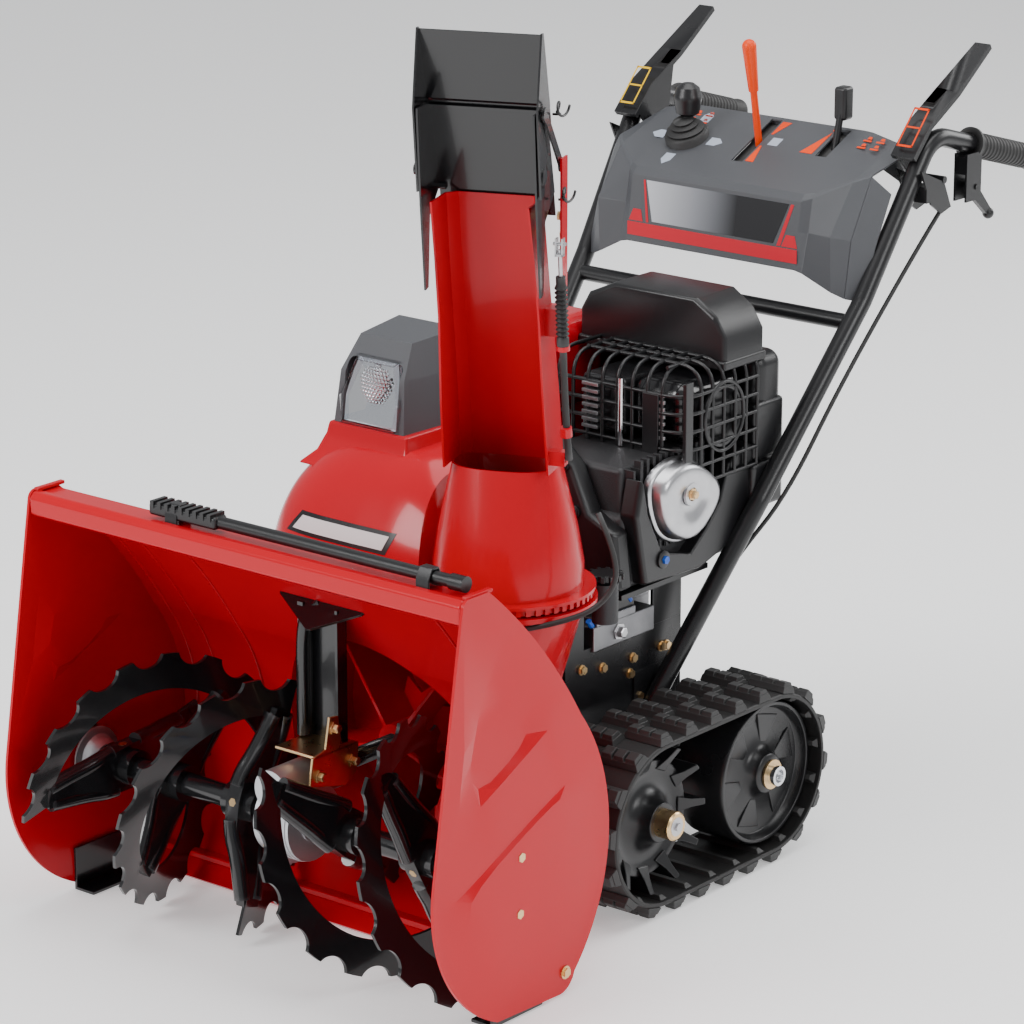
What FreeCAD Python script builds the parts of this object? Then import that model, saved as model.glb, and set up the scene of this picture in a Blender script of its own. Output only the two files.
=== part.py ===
"""Tracked two stage snowblower.

Frame: +Z up, the auger opening faces -Y, the operator stands at +Y, +X is the operator's left.
The origin is on the ground, at the centre of the machine's bounding box.
"""
import FreeCAD, Part
import math
import os

from FreeCAD import Placement, Rotation, Vector

os.makedirs("parts", exist_ok=True)
doc = FreeCAD.newDocument("Snowblower")

# ---------------------------------------------------------------- driving dimensions, millimetres
DIMENSIONS = {
    "housing_half_width": 358,
    "plate_thickness": 4,
    "sheet": 3,
    "auger_axis_y": -549,
    "auger_axis_z": 173,
    "auger_radius": 165,
    "ribbon_inner": 118,
    "ribbon_thickness": 5,
    "ribbon_wrap_deg": 305,
    "ribbon_pitch": 324,
    "auger_shaft_radius": 15,
    "impeller_axis_z": 221,
    "impeller_radius": 152,
    "drum_radius": 160,
    "drum_back_y": -262,
    "impeller_shaft_radius": 12,
    "chute_x": 150,
    "chute_y": -315,
    "chute_turn_deg": 22.5,
    "chute_radius": 95,
    "chute_base_z": 442,
    "chute_sheet": 2.5,
    "track_inner_x": 182,
    "track_width": 118,
    "track_radius": 125,
    "track_belt_inner": 104,
    "track_belt_outer": 111,
    "sprocket_y": -175,
    "idler_y": 58,
    "lug_count": 22,
    "axle_radius": 12,
    "frame_half_width": 152,
    "frame_plate": 4,
    "frame_bottom_z": 100,
    "frame_top_z": 325,
    "frame_front_y": -255,
    "frame_rear_y": 42,
    "tube_radius": 13,
    "handle_x": 235,
    "grip_radius": 16,
    "lever_width": 38,
    "cable_radius": 3,
}
dims = doc.addObject("Spreadsheet::Sheet", "Dims")
for row, (alias, value) in enumerate(DIMENSIONS.items(), start=1):
    dims.set(f"A{row}", alias)
    dims.set(f"B{row}", str(value))
    dims.setAlias(f"B{row}", alias)
doc.recompute()

NODES = []
FLANGE_BOLTS = []


def size(alias):
    """A driving dimension, read from the sheet."""
    return float(getattr(dims, alias))


def bind(obj, prop, value):
    """Set a property from a number, or bind it to an expression over the sheet's aliases."""
    if isinstance(value, str):
        obj.setExpression(prop, value)
    else:
        setattr(obj, prop, value)


def node(obj, label):
    """Mark a document object as one named piece of the machine."""
    obj.Label = label
    NODES.append(obj)
    return obj


def place(obj, at, rotation=None):
    obj.Placement = Placement(Vector(*at), rotation or Rotation())
    return obj


# ---------------------------------------------------------------- outlines
def rounded(corners):
    """Closed loop of lines and corner arcs from (x, y, radius) corners."""
    loop = []
    count = len(corners)
    for i, (x, y, radius) in enumerate(corners):
        here = Vector(x, y, 0)
        before = Vector(corners[i - 1][0], corners[i - 1][1], 0) - here
        after = Vector(corners[(i + 1) % count][0], corners[(i + 1) % count][1], 0) - here
        if radius == 0:
            loop.append(("line", here))
            continue
        half = before.getAngle(after) / 2
        reach = radius / math.tan(half)
        start = here + before.normalize() * reach
        end = here + after.normalize() * reach
        inward = (before + after).normalize()
        middle = here + inward * (radius / math.sin(half) - radius)
        loop.append(("line", start))
        loop.append(("arc", middle, end))
    return loop


def loop_curves(loop):
    """Curves of a closed loop of ("line", end) and ("arc", middle, end) steps."""
    curves = []
    last = loop[-1][-1]
    for step in loop:
        if step[0] == "line":
            if last.distanceToPoint(step[1]) > 1e-6:
                curves.append(Part.LineSegment(last, step[1]))
        else:
            curves.append(Part.Arc(last, step[1], step[2]))
        last = step[-1]
    return curves


def path(*steps):
    """Loop from plain tuples: (x, y) is a line to a point, (mx, my, x, y) an arc to a point."""
    loop = []
    for step in steps:
        if len(step) == 2:
            loop.append(("line", Vector(step[0], step[1], 0)))
        else:
            loop.append(("arc", Vector(step[0], step[1], 0), Vector(step[2], step[3], 0)))
    return loop


PLANES = {"XY": "XY_Plane", "XZ": "XZ_Plane", "YZ": "YZ_Plane"}
TO_PLANE = {
    "XY": Rotation(),
    "XZ": Rotation(Vector(1, 0, 0), 90),
    "YZ": Rotation(Vector(1, 1, 1), 120),
}


def sketched_body(name, plane, loops, circles=(), offset=0.0):
    """A PartDesign body with one sketch on an origin plane, moved along the plane's normal."""
    body = doc.addObject("PartDesign::Body", name)
    sketch = body.newObject("Sketcher::SketchObject", name + "_sketch")
    origin_plane = [f for f in body.Origin.OriginFeatures if f.Role == PLANES[plane]][0]
    sketch.AttachmentSupport = [(origin_plane, "")]
    sketch.MapMode = "FlatFace"
    sketch.AttachmentOffset = Placement(Vector(0, 0, offset), Rotation())
    for loop in loops:
        for curve in loop_curves(loop):
            sketch.addGeometry(curve, False)
    for x, y, radius in circles:
        sketch.addGeometry(Part.Circle(Vector(x, y, 0), Vector(0, 0, 1), radius), False)
    return body, sketch


def padded(name, plane, loops, length, circles=(), offset=0.0, middle=False):
    """A plate or profile: a sketch padded by a length. XZ pads run towards -Y."""
    body, sketch = sketched_body(name, plane, loops, circles, offset)
    pad = body.newObject("PartDesign::Pad", name + "_pad")
    pad.Profile = sketch
    pad.Midplane = middle
    bind(pad, "Length", length)
    sketch.Visibility = False
    return body


def turned(name, profile, at, axis):
    """A turned piece: (along, radius) points revolved about the given axis direction."""
    loop = [("line", Vector(radius, along, 0)) for along, radius in profile]
    body, sketch = sketched_body(name, "XY", [loop])
    spin = body.newObject("PartDesign::Revolution", name + "_turn")
    spin.Profile = sketch
    spin.ReferenceAxis = (sketch, ["V_Axis"])
    spin.Angle = 360
    body.Placement = Placement(Vector(*at), Rotation(Vector(0, 1, 0), Vector(*axis)))
    return body


def cylinder(name, radius, height, at, axis=(0, 0, 1)):
    obj = doc.addObject("Part::Cylinder", name)
    bind(obj, "Radius", radius)
    bind(obj, "Height", height)
    return place(obj, at, Rotation(Vector(0, 0, 1), Vector(*axis)))


def block(name, sizes, at, rotation=None):
    obj = doc.addObject("Part::Box", name)
    for prop, value in zip(("Length", "Width", "Height"), sizes):
        bind(obj, prop, value)
    return place(obj, at, rotation)


def fused(name, objects):
    obj = doc.addObject("Part::MultiFuse", name)
    obj.Shapes = objects
    return obj


def cut(name, base, tool):
    obj = doc.addObject("Part::Cut", name)
    obj.Base = base
    obj.Tool = tool
    return obj


def grouped(name, objects):
    """Separate solids of the same kind that share one node."""
    obj = doc.addObject("Part::Compound", name)
    obj.Links = objects
    return obj


def feature(name, shape):
    """A shape made with Part's own functions, for what the features above can't form."""
    obj = doc.addObject("Part::Feature", name)
    obj.Shape = shape
    return obj


# ---------------------------------------------------------------- plain shapes for Part::Feature
def solid_from(loop, plane, length, offset=0.0):
    """Prism of a loop on a plane, from the offset for a length along the plane's normal."""
    wire = Part.Wire([curve.toShape() for curve in loop_curves(loop)])
    prism = Part.Face(wire).extrude(Vector(0, 0, length))
    prism.Placement = Placement(TO_PLANE[plane].multVec(Vector(0, 0, offset)), TO_PLANE[plane])
    return prism


def ring(outer, inner, height, at, axis=(0, 0, 1)):
    tube = Part.makeCylinder(outer, height, Vector(*at), Vector(*axis))
    start = Vector(*at) - Vector(*axis) * 1.0
    return tube.cut(Part.makeCylinder(inner, height + 2, start, Vector(*axis)))


def hex_bolt(at, axis, across=10, head=6, washer=9, shank=3):
    """Flange bolt: its washer face lies at the point, its head stands out along the axis."""
    direction = Vector(*axis)
    corners = [Vector(math.cos(math.radians(60 * i)), math.sin(math.radians(60 * i)), 0)
               * (across / math.sqrt(3)) for i in range(7)]
    head_solid = Part.Face(Part.makePolygon(corners)).extrude(Vector(0, 0, head))
    head_solid.Placement = Placement(Vector(*at), Rotation(Vector(0, 0, 1), direction))
    flange = Part.makeCylinder(washer, 2, Vector(*at), direction)
    stem = Part.makeCylinder(shank, shank, Vector(*at) - direction * shank, direction)
    return head_solid.fuse([flange, stem])


def tube_path(points, bend):
    """Straight runs joined by tangent arcs. A bend radius of 0 takes 0.45 of the shorter run."""
    points = [Vector(*p) for p in points]
    edges = []
    start = points[0]
    for i in range(1, len(points) - 1):
        back = points[i - 1] - points[i]
        ahead = points[i + 1] - points[i]
        half = back.getAngle(ahead) / 2
        shorter = min(back.Length, ahead.Length)
        reach = 0.45 * shorter if bend == 0 else bend / math.tan(half)
        radius = reach * math.tan(half)
        p_in = points[i] + back.normalize() * reach
        p_out = points[i] + ahead.normalize() * reach
        inward = (back + ahead).normalize()
        middle = points[i] + inward * (radius / math.sin(half) - radius)
        edges.append(Part.LineSegment(start, p_in).toShape())
        edges.append(Part.Arc(p_in, middle, p_out).toShape())
        start = p_out
    edges.append(Part.LineSegment(start, points[-1]).toShape())
    return Part.Wire(edges)


def tube(points, radius, bend=0.0, bore=0.0):
    """Round tube along a route of straight runs and tangent arcs."""
    spine = tube_path(points, bend)
    direction = Vector(*points[1]) - Vector(*points[0])
    circle = Part.Wire(Part.makeCircle(radius, Vector(*points[0]), direction))
    solid = spine.makePipeShell([circle], True, False)
    expected = math.pi * radius ** 2 * spine.Length
    if abs(solid.Volume - expected) > 0.02 * expected:
        raise RuntimeError(f"tube volume {solid.Volume:.0f} differs from {expected:.0f}")
    if bore:
        inner = Part.Wire(Part.makeCircle(bore, Vector(*points[0]), direction))
        solid = solid.cut(spine.makePipeShell([inner], True, False))
    return solid


def lofted(sections, ruled=True):
    return Part.makeLoft([Part.makePolygon([Vector(*p) for p in s] + [Vector(*s[0])])
                          for s in sections], True, ruled)


def rect_section(centre, u, v, half_u, half_v):
    """Corners of a rectangle about a centre, spanned by two directions."""
    c, u, v = Vector(*centre), Vector(*u).normalize(), Vector(*v).normalize()
    signs = ((-1, -1), (1, -1), (1, 1), (-1, 1))
    return [tuple(c + u * (a * half_u) + v * (b * half_v)) for a, b in signs]


def mirrored(shape):
    """Copy reflected in the machine's centre plane."""
    return shape.mirror(Vector(0, 0, 0), Vector(1, 0, 0))


SIDES = (("left", 1), ("right", -1))


# ---------------------------------------------------------------- auger housing
def housing_back_line():
    """Side view of the barrel's outer face, from the front lip over the top to the scraper."""
    points = [Vector(-646, 531, 0), Vector(-646, 552, 0), Vector(-606, 552, 0)]
    wire = [Part.LineSegment(points[0], points[1]).toShape()]
    wire.append(Part.LineSegment(points[1], points[2]).toShape())
    top_arc = Part.Arc(Vector(-606, 552, 0), Vector(-513, 465, 0), Vector(-432, 357, 0))
    rear_arc = Part.Arc(Vector(-432, 357, 0), Vector(-377, 185, 0), Vector(-443, 26, 0))
    wire.append(top_arc.toShape())
    wire.append(rear_arc.toShape())
    return Part.Wire(wire)


def housing_inside():
    """The space in front of the barrel, used to trim what joins its back."""
    line = housing_back_line()
    edges = list(line.Edges)
    corners = [Vector(-443, 26, 0), Vector(-443, -80, 0), Vector(-900, -80, 0),
               Vector(-900, 531, 0), Vector(-646, 531, 0)]
    for start, end in zip(corners, corners[1:]):
        edges.append(Part.LineSegment(start, end).toShape())
    prism = Part.Face(Part.Wire(Part.__sortEdges__(edges))).extrude(Vector(0, 0, 900))
    prism.Placement = Placement(Vector(-450, 0, 0), TO_PLANE["YZ"])
    return prism


def build_housing():
    half = size("housing_half_width") - size("plate_thickness")
    line = housing_back_line()
    sheet_face = line.makeOffset2D(size("sheet"), 0, True, True, False)
    if sheet_face.BoundBox.YMax > line.BoundBox.YMax + 0.5:
        sheet_face = line.makeOffset2D(-size("sheet"), 0, True, True, False)
    barrel = sheet_face.extrude(Vector(0, 0, 2 * half))
    barrel.Placement = Placement(Vector(-half, 0, 0), TO_PLANE["YZ"])
    opening = Part.makeCylinder(size("drum_radius"), 300, Vector(0, -230, size("impeller_axis_z")),
                                Vector(0, -1, 0))
    node(feature("AugerHousing", barrel.cut(opening)), "auger_housing")


def side_plate_outline():
    return path((-640, 556), (-647, 553, -651, 546), (-705, 214), (-676, 80, -589, 8),
                (-471, 4), (-455, 8, -441, 26), (-374, 185, -430, 358),
                (-511, 467, -604, 556))


def build_side_plates():
    half = size("housing_half_width")
    plates = []
    for side, sign in SIDES:
        offset = half - size("plate_thickness") if sign > 0 else -half
        plate = padded("SidePlate_" + side, "YZ", [side_plate_outline()], "Dims.plate_thickness",
                       circles=[(-549, 173, 17), (-581, 16, 4), (-525, 14, 4)], offset=offset)
        plates.append(plate)
    node(grouped("SidePlates", plates), "side_plates")


def build_scraper_and_skids():
    half = size("housing_half_width") - size("plate_thickness")
    profile = path((-474, 3), (-444, 22), (-448, 27), (-480, 8))
    node(padded("ScraperBar", "YZ", [profile], "2 * (Dims.housing_half_width - 8)",
                offset=0, middle=True), "scraper_bar")
    shoes = []
    for side, sign in SIDES:
        inner = half - 4 if sign > 0 else -half
        web = block("SkidWeb_" + side, (4, 96, 58), (inner, -594, 0))
        foot_x = half - 34 if sign > 0 else -half
        foot = block("SkidFoot_" + side, (34, 96, 4), (foot_x, -594, 0))
        shoes.append(fused("SkidShoe_" + side, [web, foot]))
    node(grouped("SkidShoes", shoes), "skid_shoes")


def build_housing_bolts():
    half = size("housing_half_width")
    places = ((-548, 209), (-551, 137), (-460, 31))
    for sign in (1, -1):
        for y, z in places:
            at, axis = (sign * half, y, z), (sign, 0, 0)
            FLANGE_BOLTS.append(hex_bolt(at, axis, across=11, head=5, washer=8.5))


def build_bearings():
    """Flanged bearings of the auger shaft in the side plates, and of the impeller shaft in the drum."""
    half = size("housing_half_width") - size("plate_thickness")
    bore = size("auger_shaft_radius") + 0.05
    profile = [(0, bore), (0, 40), (3, 40), (5, 30), (14, 26), (20, 20), (20, bore)]
    bearings = []
    for side, sign in SIDES:
        at = (sign * half, size("auger_axis_y"), size("auger_axis_z"))
        bearings.append(turned("AugerBearing_" + side, profile, at, (-sign, 0, 0)))
    bore = size("impeller_shaft_radius") + 0.05
    profile = [(0, bore), (0, 26), (4, 26), (4, 34), (8, 34), (14, 24), (14, bore)]
    at = (0, size("drum_back_y"), size("impeller_axis_z"))
    bearings.append(turned("ImpellerBearing", profile, at, (0, 1, 0)))
    node(grouped("ShaftBearings", bearings), "shaft_bearings")


# ---------------------------------------------------------------- auger
AUGER_HALVES = {"left": (1, 43.0), "right": (-1, -69.0)}
RIBBON_START_X = 52
ARM_PLACES = ((84, -27), (213, -16), (300, 20))


def auger_point(x, radius, angle_deg):
    """Point about the auger's axis. The angle is 0 towards the front and 90 straight up."""
    angle = math.radians(angle_deg)
    return (x, size("auger_axis_y") - radius * math.cos(angle),
            size("auger_axis_z") + radius * math.sin(angle))


def ribbon(sign, inner_x, start_deg):
    """Serrated helical ribbon. It leaves the gearbox end at an angle and winds outwards."""
    wrap = size("ribbon_wrap_deg")
    pitch = size("ribbon_pitch")
    inner, outer = size("ribbon_inner"), size("auger_radius")
    middle = (inner + outer) / 2
    height = pitch * wrap / 360
    helix = Part.makeHelix(pitch, height, middle)
    half = size("ribbon_thickness") / 2
    corners = [Vector(inner, 0, -half), Vector(outer, 0, -half), Vector(outer, 0, half),
               Vector(inner, 0, half), Vector(inner, 0, -half)]
    blade = Part.Wire(helix.Edges).makePipeShell([Part.makePolygon(corners)], True, True)
    teeth = 14
    cutters = []
    for i in range(teeth):
        angle = math.radians(wrap * (i + 0.5) / teeth)
        along = height * (i + 0.5) / teeth
        radius = outer + 7
        at = Vector(radius * math.cos(angle), radius * math.sin(angle), along - 30)
        cutters.append(Part.makeCylinder(22, 60, at))
    blade = blade.cut(cutters)
    return place_ribbon(blade, sign, inner_x, start_deg)


def place_ribbon(blade, sign, inner_x, start_deg):
    """Turn the Z helix onto the auger's axis, so that it winds with the auger's drive."""
    if sign < 0:
        blade = blade.mirror(Vector(0, 0, 0), Vector(0, 0, 1))
    frame = FreeCAD.Matrix()
    frame.A11, frame.A12, frame.A13 = 0, 0, 1
    frame.A21, frame.A22, frame.A23 = -1, 0, 0
    frame.A31, frame.A32, frame.A33 = 0, -1, 0
    blade.Placement = Placement(frame).multiply(blade.Placement)
    blade.rotate(Vector(0, 0, 0), Vector(1, 0, 0), -start_deg)
    blade.translate(Vector(inner_x, size("auger_axis_y"), size("auger_axis_z")))
    return blade


def arm(x, lean, angle_deg):
    """Pressed arm through the shaft, joining the two ribbons of one auger half. Its ends lean in X."""
    axis = Vector(1, 0, 0)
    halves = []
    for flip in (0, 180):
        direction = Vector(*auger_point(0, 1, angle_deg + flip)) - Vector(*auger_point(0, 0, 0))
        across = axis.cross(direction)
        reach = size("ribbon_inner") + 10
        stations = ((0, 0.0, 30, 11), (40, 0.1, 27, 10), (85, 0.7, 19, 8), (reach, 1.0, 13, 7))
        sections = []
        for distance, share, half_across, half_thick in stations:
            centre = auger_point(x + lean * share, distance, angle_deg + flip)
            sections.append(rect_section(centre, across, axis, half_across, half_thick))
        halves.append(lofted(sections))
    collar_at = Vector(x - 26, size("auger_axis_y"), size("auger_axis_z"))
    collar = Part.makeCylinder(24, 52, collar_at, axis)
    return halves[0].fuse([halves[1], collar])


def build_auger():
    end = size("housing_half_width") - size("plate_thickness") - 1
    axis_y, axis_z = size("auger_axis_y"), size("auger_axis_z")
    rod = cylinder("AugerRod", "Dims.auger_shaft_radius", 2 * end, (-end, axis_y, axis_z), (1, 0, 0))
    wheel = turned("WormWheel", [(-9, 15), (-9, 33), (9, 33), (9, 15)], (0, axis_y, axis_z), (1, 0, 0))
    node(grouped("AugerShaft", [rod, wheel]), "auger_shaft")
    bore = Part.makeCylinder(size("auger_shaft_radius") + 0.02, 900, Vector(-450, axis_y, axis_z),
                             Vector(1, 0, 0))
    bolts, flights = [], []
    for side, (sign, start) in AUGER_HALVES.items():
        inner_x = RIBBON_START_X * sign
        pieces = [ribbon(sign, inner_x, start), ribbon(sign, inner_x, start + 180)]
        for x, lean in ARM_PLACES:
            turn = start - (x + lean - RIBBON_START_X) / size("ribbon_pitch") * 360
            pieces.append(arm(sign * x, sign * lean, turn))
            bolt_at = auger_point(sign * x, 24, turn + 90)
            outward = Vector(*auger_point(0, 1, turn + 90)) - Vector(*auger_point(0, 0, 0))
            bolts.append(hex_bolt(bolt_at, tuple(outward), across=10, head=6, washer=7, shank=4))
        flight = pieces[0].fuse(pieces[1:]).cut(bore)
        flights.append(feature("AugerFlight_" + side, flight))
    node(grouped("AugerFlights", flights), "auger_flights")
    node(feature("ShearBolts", Part.makeCompound(bolts)), "shear_bolts")


# ---------------------------------------------------------------- gearbox and its strut
def build_gearbox():
    axis_y, axis_z = size("auger_axis_y"), size("auger_axis_z")
    worm_z = size("impeller_axis_z")
    wheel_case = Part.makeCylinder(50, 58, Vector(-29, axis_y, axis_z), Vector(1, 0, 0))
    flange = Part.makeCylinder(58, 8, Vector(-4, axis_y, axis_z), Vector(1, 0, 0))
    worm_case = Part.makeCylinder(27, 118, Vector(0, axis_y - 48, worm_z), Vector(0, 1, 0))
    snouts = Part.makeCylinder(24, 62, Vector(-31, axis_y, axis_z), Vector(1, 0, 0))
    case = wheel_case.fuse([flange, worm_case, snouts])
    wheel_room = Part.makeCylinder(44, 48, Vector(-24, axis_y, axis_z), Vector(1, 0, 0))
    worm_room = Part.makeCylinder(20, 100, Vector(0, axis_y - 40, worm_z), Vector(0, 1, 0))
    shaft_bore = Part.makeCylinder(size("auger_shaft_radius") + 0.05, 90,
                                   Vector(-45, axis_y, axis_z), Vector(1, 0, 0))
    worm_bore = Part.makeCylinder(size("impeller_shaft_radius") + 0.05, 40,
                                  Vector(0, axis_y + 50, worm_z), Vector(0, 1, 0))
    case = case.cut([wheel_room, worm_room, shaft_bore, worm_bore])
    bolts = []
    for i in range(6):
        point = auger_point(-4, 54, 20 - 44 * i)
        bolts.append(hex_bolt(point, (-1, 0, 0), across=9, head=5, washer=6, shank=3))
    pads = [Part.makeCylinder(8, 8, Vector(*auger_point(-4, 54, 20 - 44 * i)), Vector(1, 0, 0))
            for i in range(6)]
    node(feature("AugerGearbox", case.fuse(pads).cut(bolts)), "auger_gearbox")
    FLANGE_BOLTS.extend(bolts)


STRUT_Y = -499
STRUT_HALF_WIDTH = 33
STRUT_TOP_Z = 440
STRUT_BOTTOM_Z = 262


def build_strut():
    """Folded channel hung from a diamond plate under the barrel, with its cradle on the gearbox."""
    half, top, bottom = STRUT_HALF_WIDTH, STRUT_TOP_Z, STRUT_BOTTOM_Z
    web = Part.makeBox(2 * half, 4, top - bottom, Vector(-half, STRUT_Y + 6, bottom))
    front_roll = Part.makeBox(9, 14, top - bottom, Vector(-half, STRUT_Y - 8, bottom))
    rear_flange = Part.makeBox(4, 14, top - bottom, Vector(half - 4, STRUT_Y - 8, bottom))
    slope = Rotation(Vector(1, 0, 0), 46)
    diamond = rounded([(-78, 0, 8), (0, -44, 8), (78, 0, 8), (0, 44, 8)])
    plate = solid_from(diamond, "XY", 4)
    plate.Placement = Placement(Vector(0, STRUT_Y + 5, top + 3), slope)
    strut = web.fuse([front_roll, rear_flange, plate]).common(housing_inside())
    normal = slope.multVec(Vector(0, 0, -1))
    for x, y in ((-58, 0), (58, 0), (0, -30)):
        at = plate.Placement.multVec(Vector(x, y, 0))
        FLANGE_BOLTS.append(hex_bolt(tuple(at), tuple(normal), across=9, head=7, washer=6, shank=0.01))
    node(feature("GearboxStrut", strut), "gearbox_strut")
    saddle_loop = path((-36, 262), (36, 262), (36, 232), (31, 232), (31, 257), (-31, 257),
                       (-31, 232), (-36, 232))
    cradle = solid_from(saddle_loop, "XZ", 60, offset=-(STRUT_Y + 34))
    node(feature("GearboxBracket", cradle), "gearbox_bracket")


# ---------------------------------------------------------------- impeller and its drum
BELT_PLANE_Y = -197


def sampled_circle(cx, cy, radius, z, count=32):
    return [(cx + radius * math.cos(2 * math.pi * i / count),
             cy + radius * math.sin(2 * math.pi * i / count), z) for i in range(count)]


def sampled_rectangle(x0, x1, y0, y1, z, count=32):
    """Points of a rectangle at the same bearings as a sampled circle."""
    cx, cy = (x0 + x1) / 2, (y0 + y1) / 2
    half_x, half_y = (x1 - x0) / 2, (y1 - y0) / 2
    points = []
    for i in range(count):
        angle = 2 * math.pi * i / count
        c, s = math.cos(angle), math.sin(angle)
        scale = min(half_x / abs(c) if abs(c) > 1e-9 else 1e9, half_y / abs(s) if abs(s) > 1e-9 else 1e9)
        points.append((cx + c * scale, cy + s * scale, z))
    return points


def build_drum():
    axis_z, radius, back = size("impeller_axis_z"), size("drum_radius"), size("drum_back_y")
    cx, cy, outlet = size("chute_x"), size("chute_y"), size("chute_radius")
    base = size("chute_base_z")
    rear, front = Vector(0, 1, 0), Vector(0, -1, 0)
    shell = Part.makeCylinder(radius + 4, 230, Vector(0, back, axis_z), front)
    plate = Part.makeCylinder(radius + 4, 4, Vector(0, back, axis_z), rear)
    duct = lofted([sampled_rectangle(36, 164, -385, back + 4, 240),
                   sampled_circle(cx, cy, outlet + 4, base - 8)])
    flange = Part.makeCylinder(outlet + 17, 6, Vector(cx, cy, base - 8))
    drum = shell.fuse([plate, duct, flange])
    room = Part.makeCylinder(radius, 240, Vector(0, back, axis_z), front)
    throat = lofted([sampled_rectangle(40, 160, -381, back, 240),
                     sampled_circle(cx, cy, outlet, base - 8)])
    neck = Part.makeCylinder(outlet, 12, Vector(cx, cy, base - 8.5))
    shaft_hole = Part.makeCylinder(26, 20, Vector(0, back - 5, axis_z), rear)
    drum = drum.cut([room, throat, neck, shaft_hole, housing_inside()])
    node(feature("ImpellerDrum", drum), "impeller_drum")


def build_impeller():
    """Five-bladed fan on the worm shaft, with a star-shaped hub plate."""
    axis_z = size("impeller_axis_z")
    front_y = -366
    depth = 84
    hub = Part.makeCylinder(24, depth, Vector(0, front_y, axis_z), Vector(0, 1, 0))
    star = [Vector((74 if i % 2 == 0 else 52) * math.cos(math.pi * i / 10),
                   (74 if i % 2 == 0 else 52) * math.sin(math.pi * i / 10), 0) for i in range(21)]
    star_plate = Part.Face(Part.makePolygon(star)).extrude(Vector(0, 0, 5))
    star_plate.Placement = Placement(Vector(0, front_y + 62, axis_z), TO_PLANE["XZ"])
    pieces = [star_plate]
    radius = size("impeller_radius")
    for i in range(5):
        turn = Rotation(Vector(0, 1, 0), 72 * i + 20)
        blade = Part.makeBox(radius - 20, depth, 5, Vector(20, front_y, -2.5))
        tip = Part.makeBox(5, depth, 22, Vector(radius - 8, front_y, -2.5))
        tip.rotate(Vector(radius - 8, front_y, 0), Vector(0, 1, 0), 20)
        blade = blade.fuse(tip)
        blade.Placement = Placement(Vector(0, 0, axis_z), turn)
        pieces.append(blade)
    bore = Part.makeCylinder(size("impeller_shaft_radius") + 0.02, 200,
                             Vector(0, front_y - 50, axis_z), Vector(0, 1, 0))
    node(feature("Impeller", hub.fuse(pieces).cut(bore)), "impeller")
    rod = cylinder("ImpellerRod", "Dims.impeller_shaft_radius", 392, (0, -572, axis_z), (0, 1, 0))
    worm_profile = [(0, 12)]
    for i in range(6):
        worm_profile += [(8 * i, 12.9), (8 * i + 3, 14.5), (8 * i + 5, 14.5)]
    worm_profile += [(46, 12.9), (46, 12)]
    worm = turned("Worm", worm_profile, (0, -572, axis_z), (0, 1, 0))
    sheave = [(0, 12), (0, 70), (4, 76), (6, 76), (13, 62), (20, 76), (22, 76), (26, 70), (26, 12)]
    pulley = turned("ImpellerPulley", sheave, (0, BELT_PLANE_Y - 13, axis_z), (0, 1, 0))
    node(grouped("ImpellerShaft", [rod, worm, pulley]), "impeller_shaft")


# ---------------------------------------------------------------- plain and rounded blocks
def box(x0, x1, y0, y1, z0, z1):
    return Part.makeBox(x1 - x0, y1 - y0, z1 - z0, Vector(x0, y0, z0))


def soft_box(x0, x1, y0, y1, z0, z1, radius):
    """Box with every edge rounded."""
    plain = box(x0, x1, y0, y1, z0, z1)
    return plain.makeFillet(radius, plain.Edges)


# ---------------------------------------------------------------- belt cover and headlight
COVER_X = -60


def cover_section(z, half, front, rear, count=40):
    """Rounded section of the belt cover at one height."""
    points = []
    middle, depth = (front + rear) / 2, (rear - front) / 2
    for i in range(count):
        angle = 2 * math.pi * i / count
        c, s = math.cos(angle), math.sin(angle)
        x = COVER_X + half * math.copysign(abs(c) ** 0.55, c)
        points.append((x, middle + depth * math.copysign(abs(s) ** 0.55, s), z))
    return points


def build_belt_cover():
    """Thin hood over the belts, hollowed from below and cleared around the chute."""
    stations = ((300, 176, -392, -140), (420, 176, -388, -140), (480, 168, -375, -142),
                (530, 148, -352, -146), (565, 118, -322, -150), (585, 86, -290, -156))
    wall = 3
    outer = lofted([cover_section(*s) for s in stations], ruled=False)
    inner = lofted([cover_section(z - wall if z > 300 else z - 1, half - wall, front + wall, rear - wall)
                    for z, half, front, rear in stations], ruled=False)
    chute_well = Part.makeCylinder(115, 400, Vector(size("chute_x"), size("chute_y"), 250))
    drum_well = Part.makeCylinder(size("drum_radius") + 4, 300, Vector(0, -160, size("impeller_axis_z")),
                                  Vector(0, -1, 0))
    well_wall = Part.makeCylinder(118, 400, Vector(size("chute_x"), size("chute_y"), 250))
    hood = outer.cut([inner.cut(well_wall), chute_well, drum_well, housing_inside(),
                      box(134, 200, -500, -100, 250, 600)])
    solids = sorted(hood.Solids, key=lambda piece: piece.Volume)
    node(feature("BeltCover", solids[-1]), "belt_cover")


def build_headlight():
    """Faceted lamp housing with a raked face. The lens stands in front of a hollow."""
    sections = [
        [(-163, -292, 585), (-42, -292, 585), (-36, -150, 585), (-169, -150, 585)],
        [(-156, -282, 672), (-49, -282, 672), (-40, -152, 672), (-165, -152, 672)],
        [(-146, -254, 716), (-59, -254, 716), (-50, -168, 722), (-155, -168, 722)],
    ]
    outer = lofted(sections)
    hollow = soft_box(-148, -57, -330, -206, 600, 690, 8)
    node(feature("HeadlightHousing", outer.cut(hollow)), "headlight_housing")
    lens = soft_box(-147, -58, -284, -276, 601, 668, 3)
    node(feature("HeadlightLens", lens), "headlight_lens")


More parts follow.
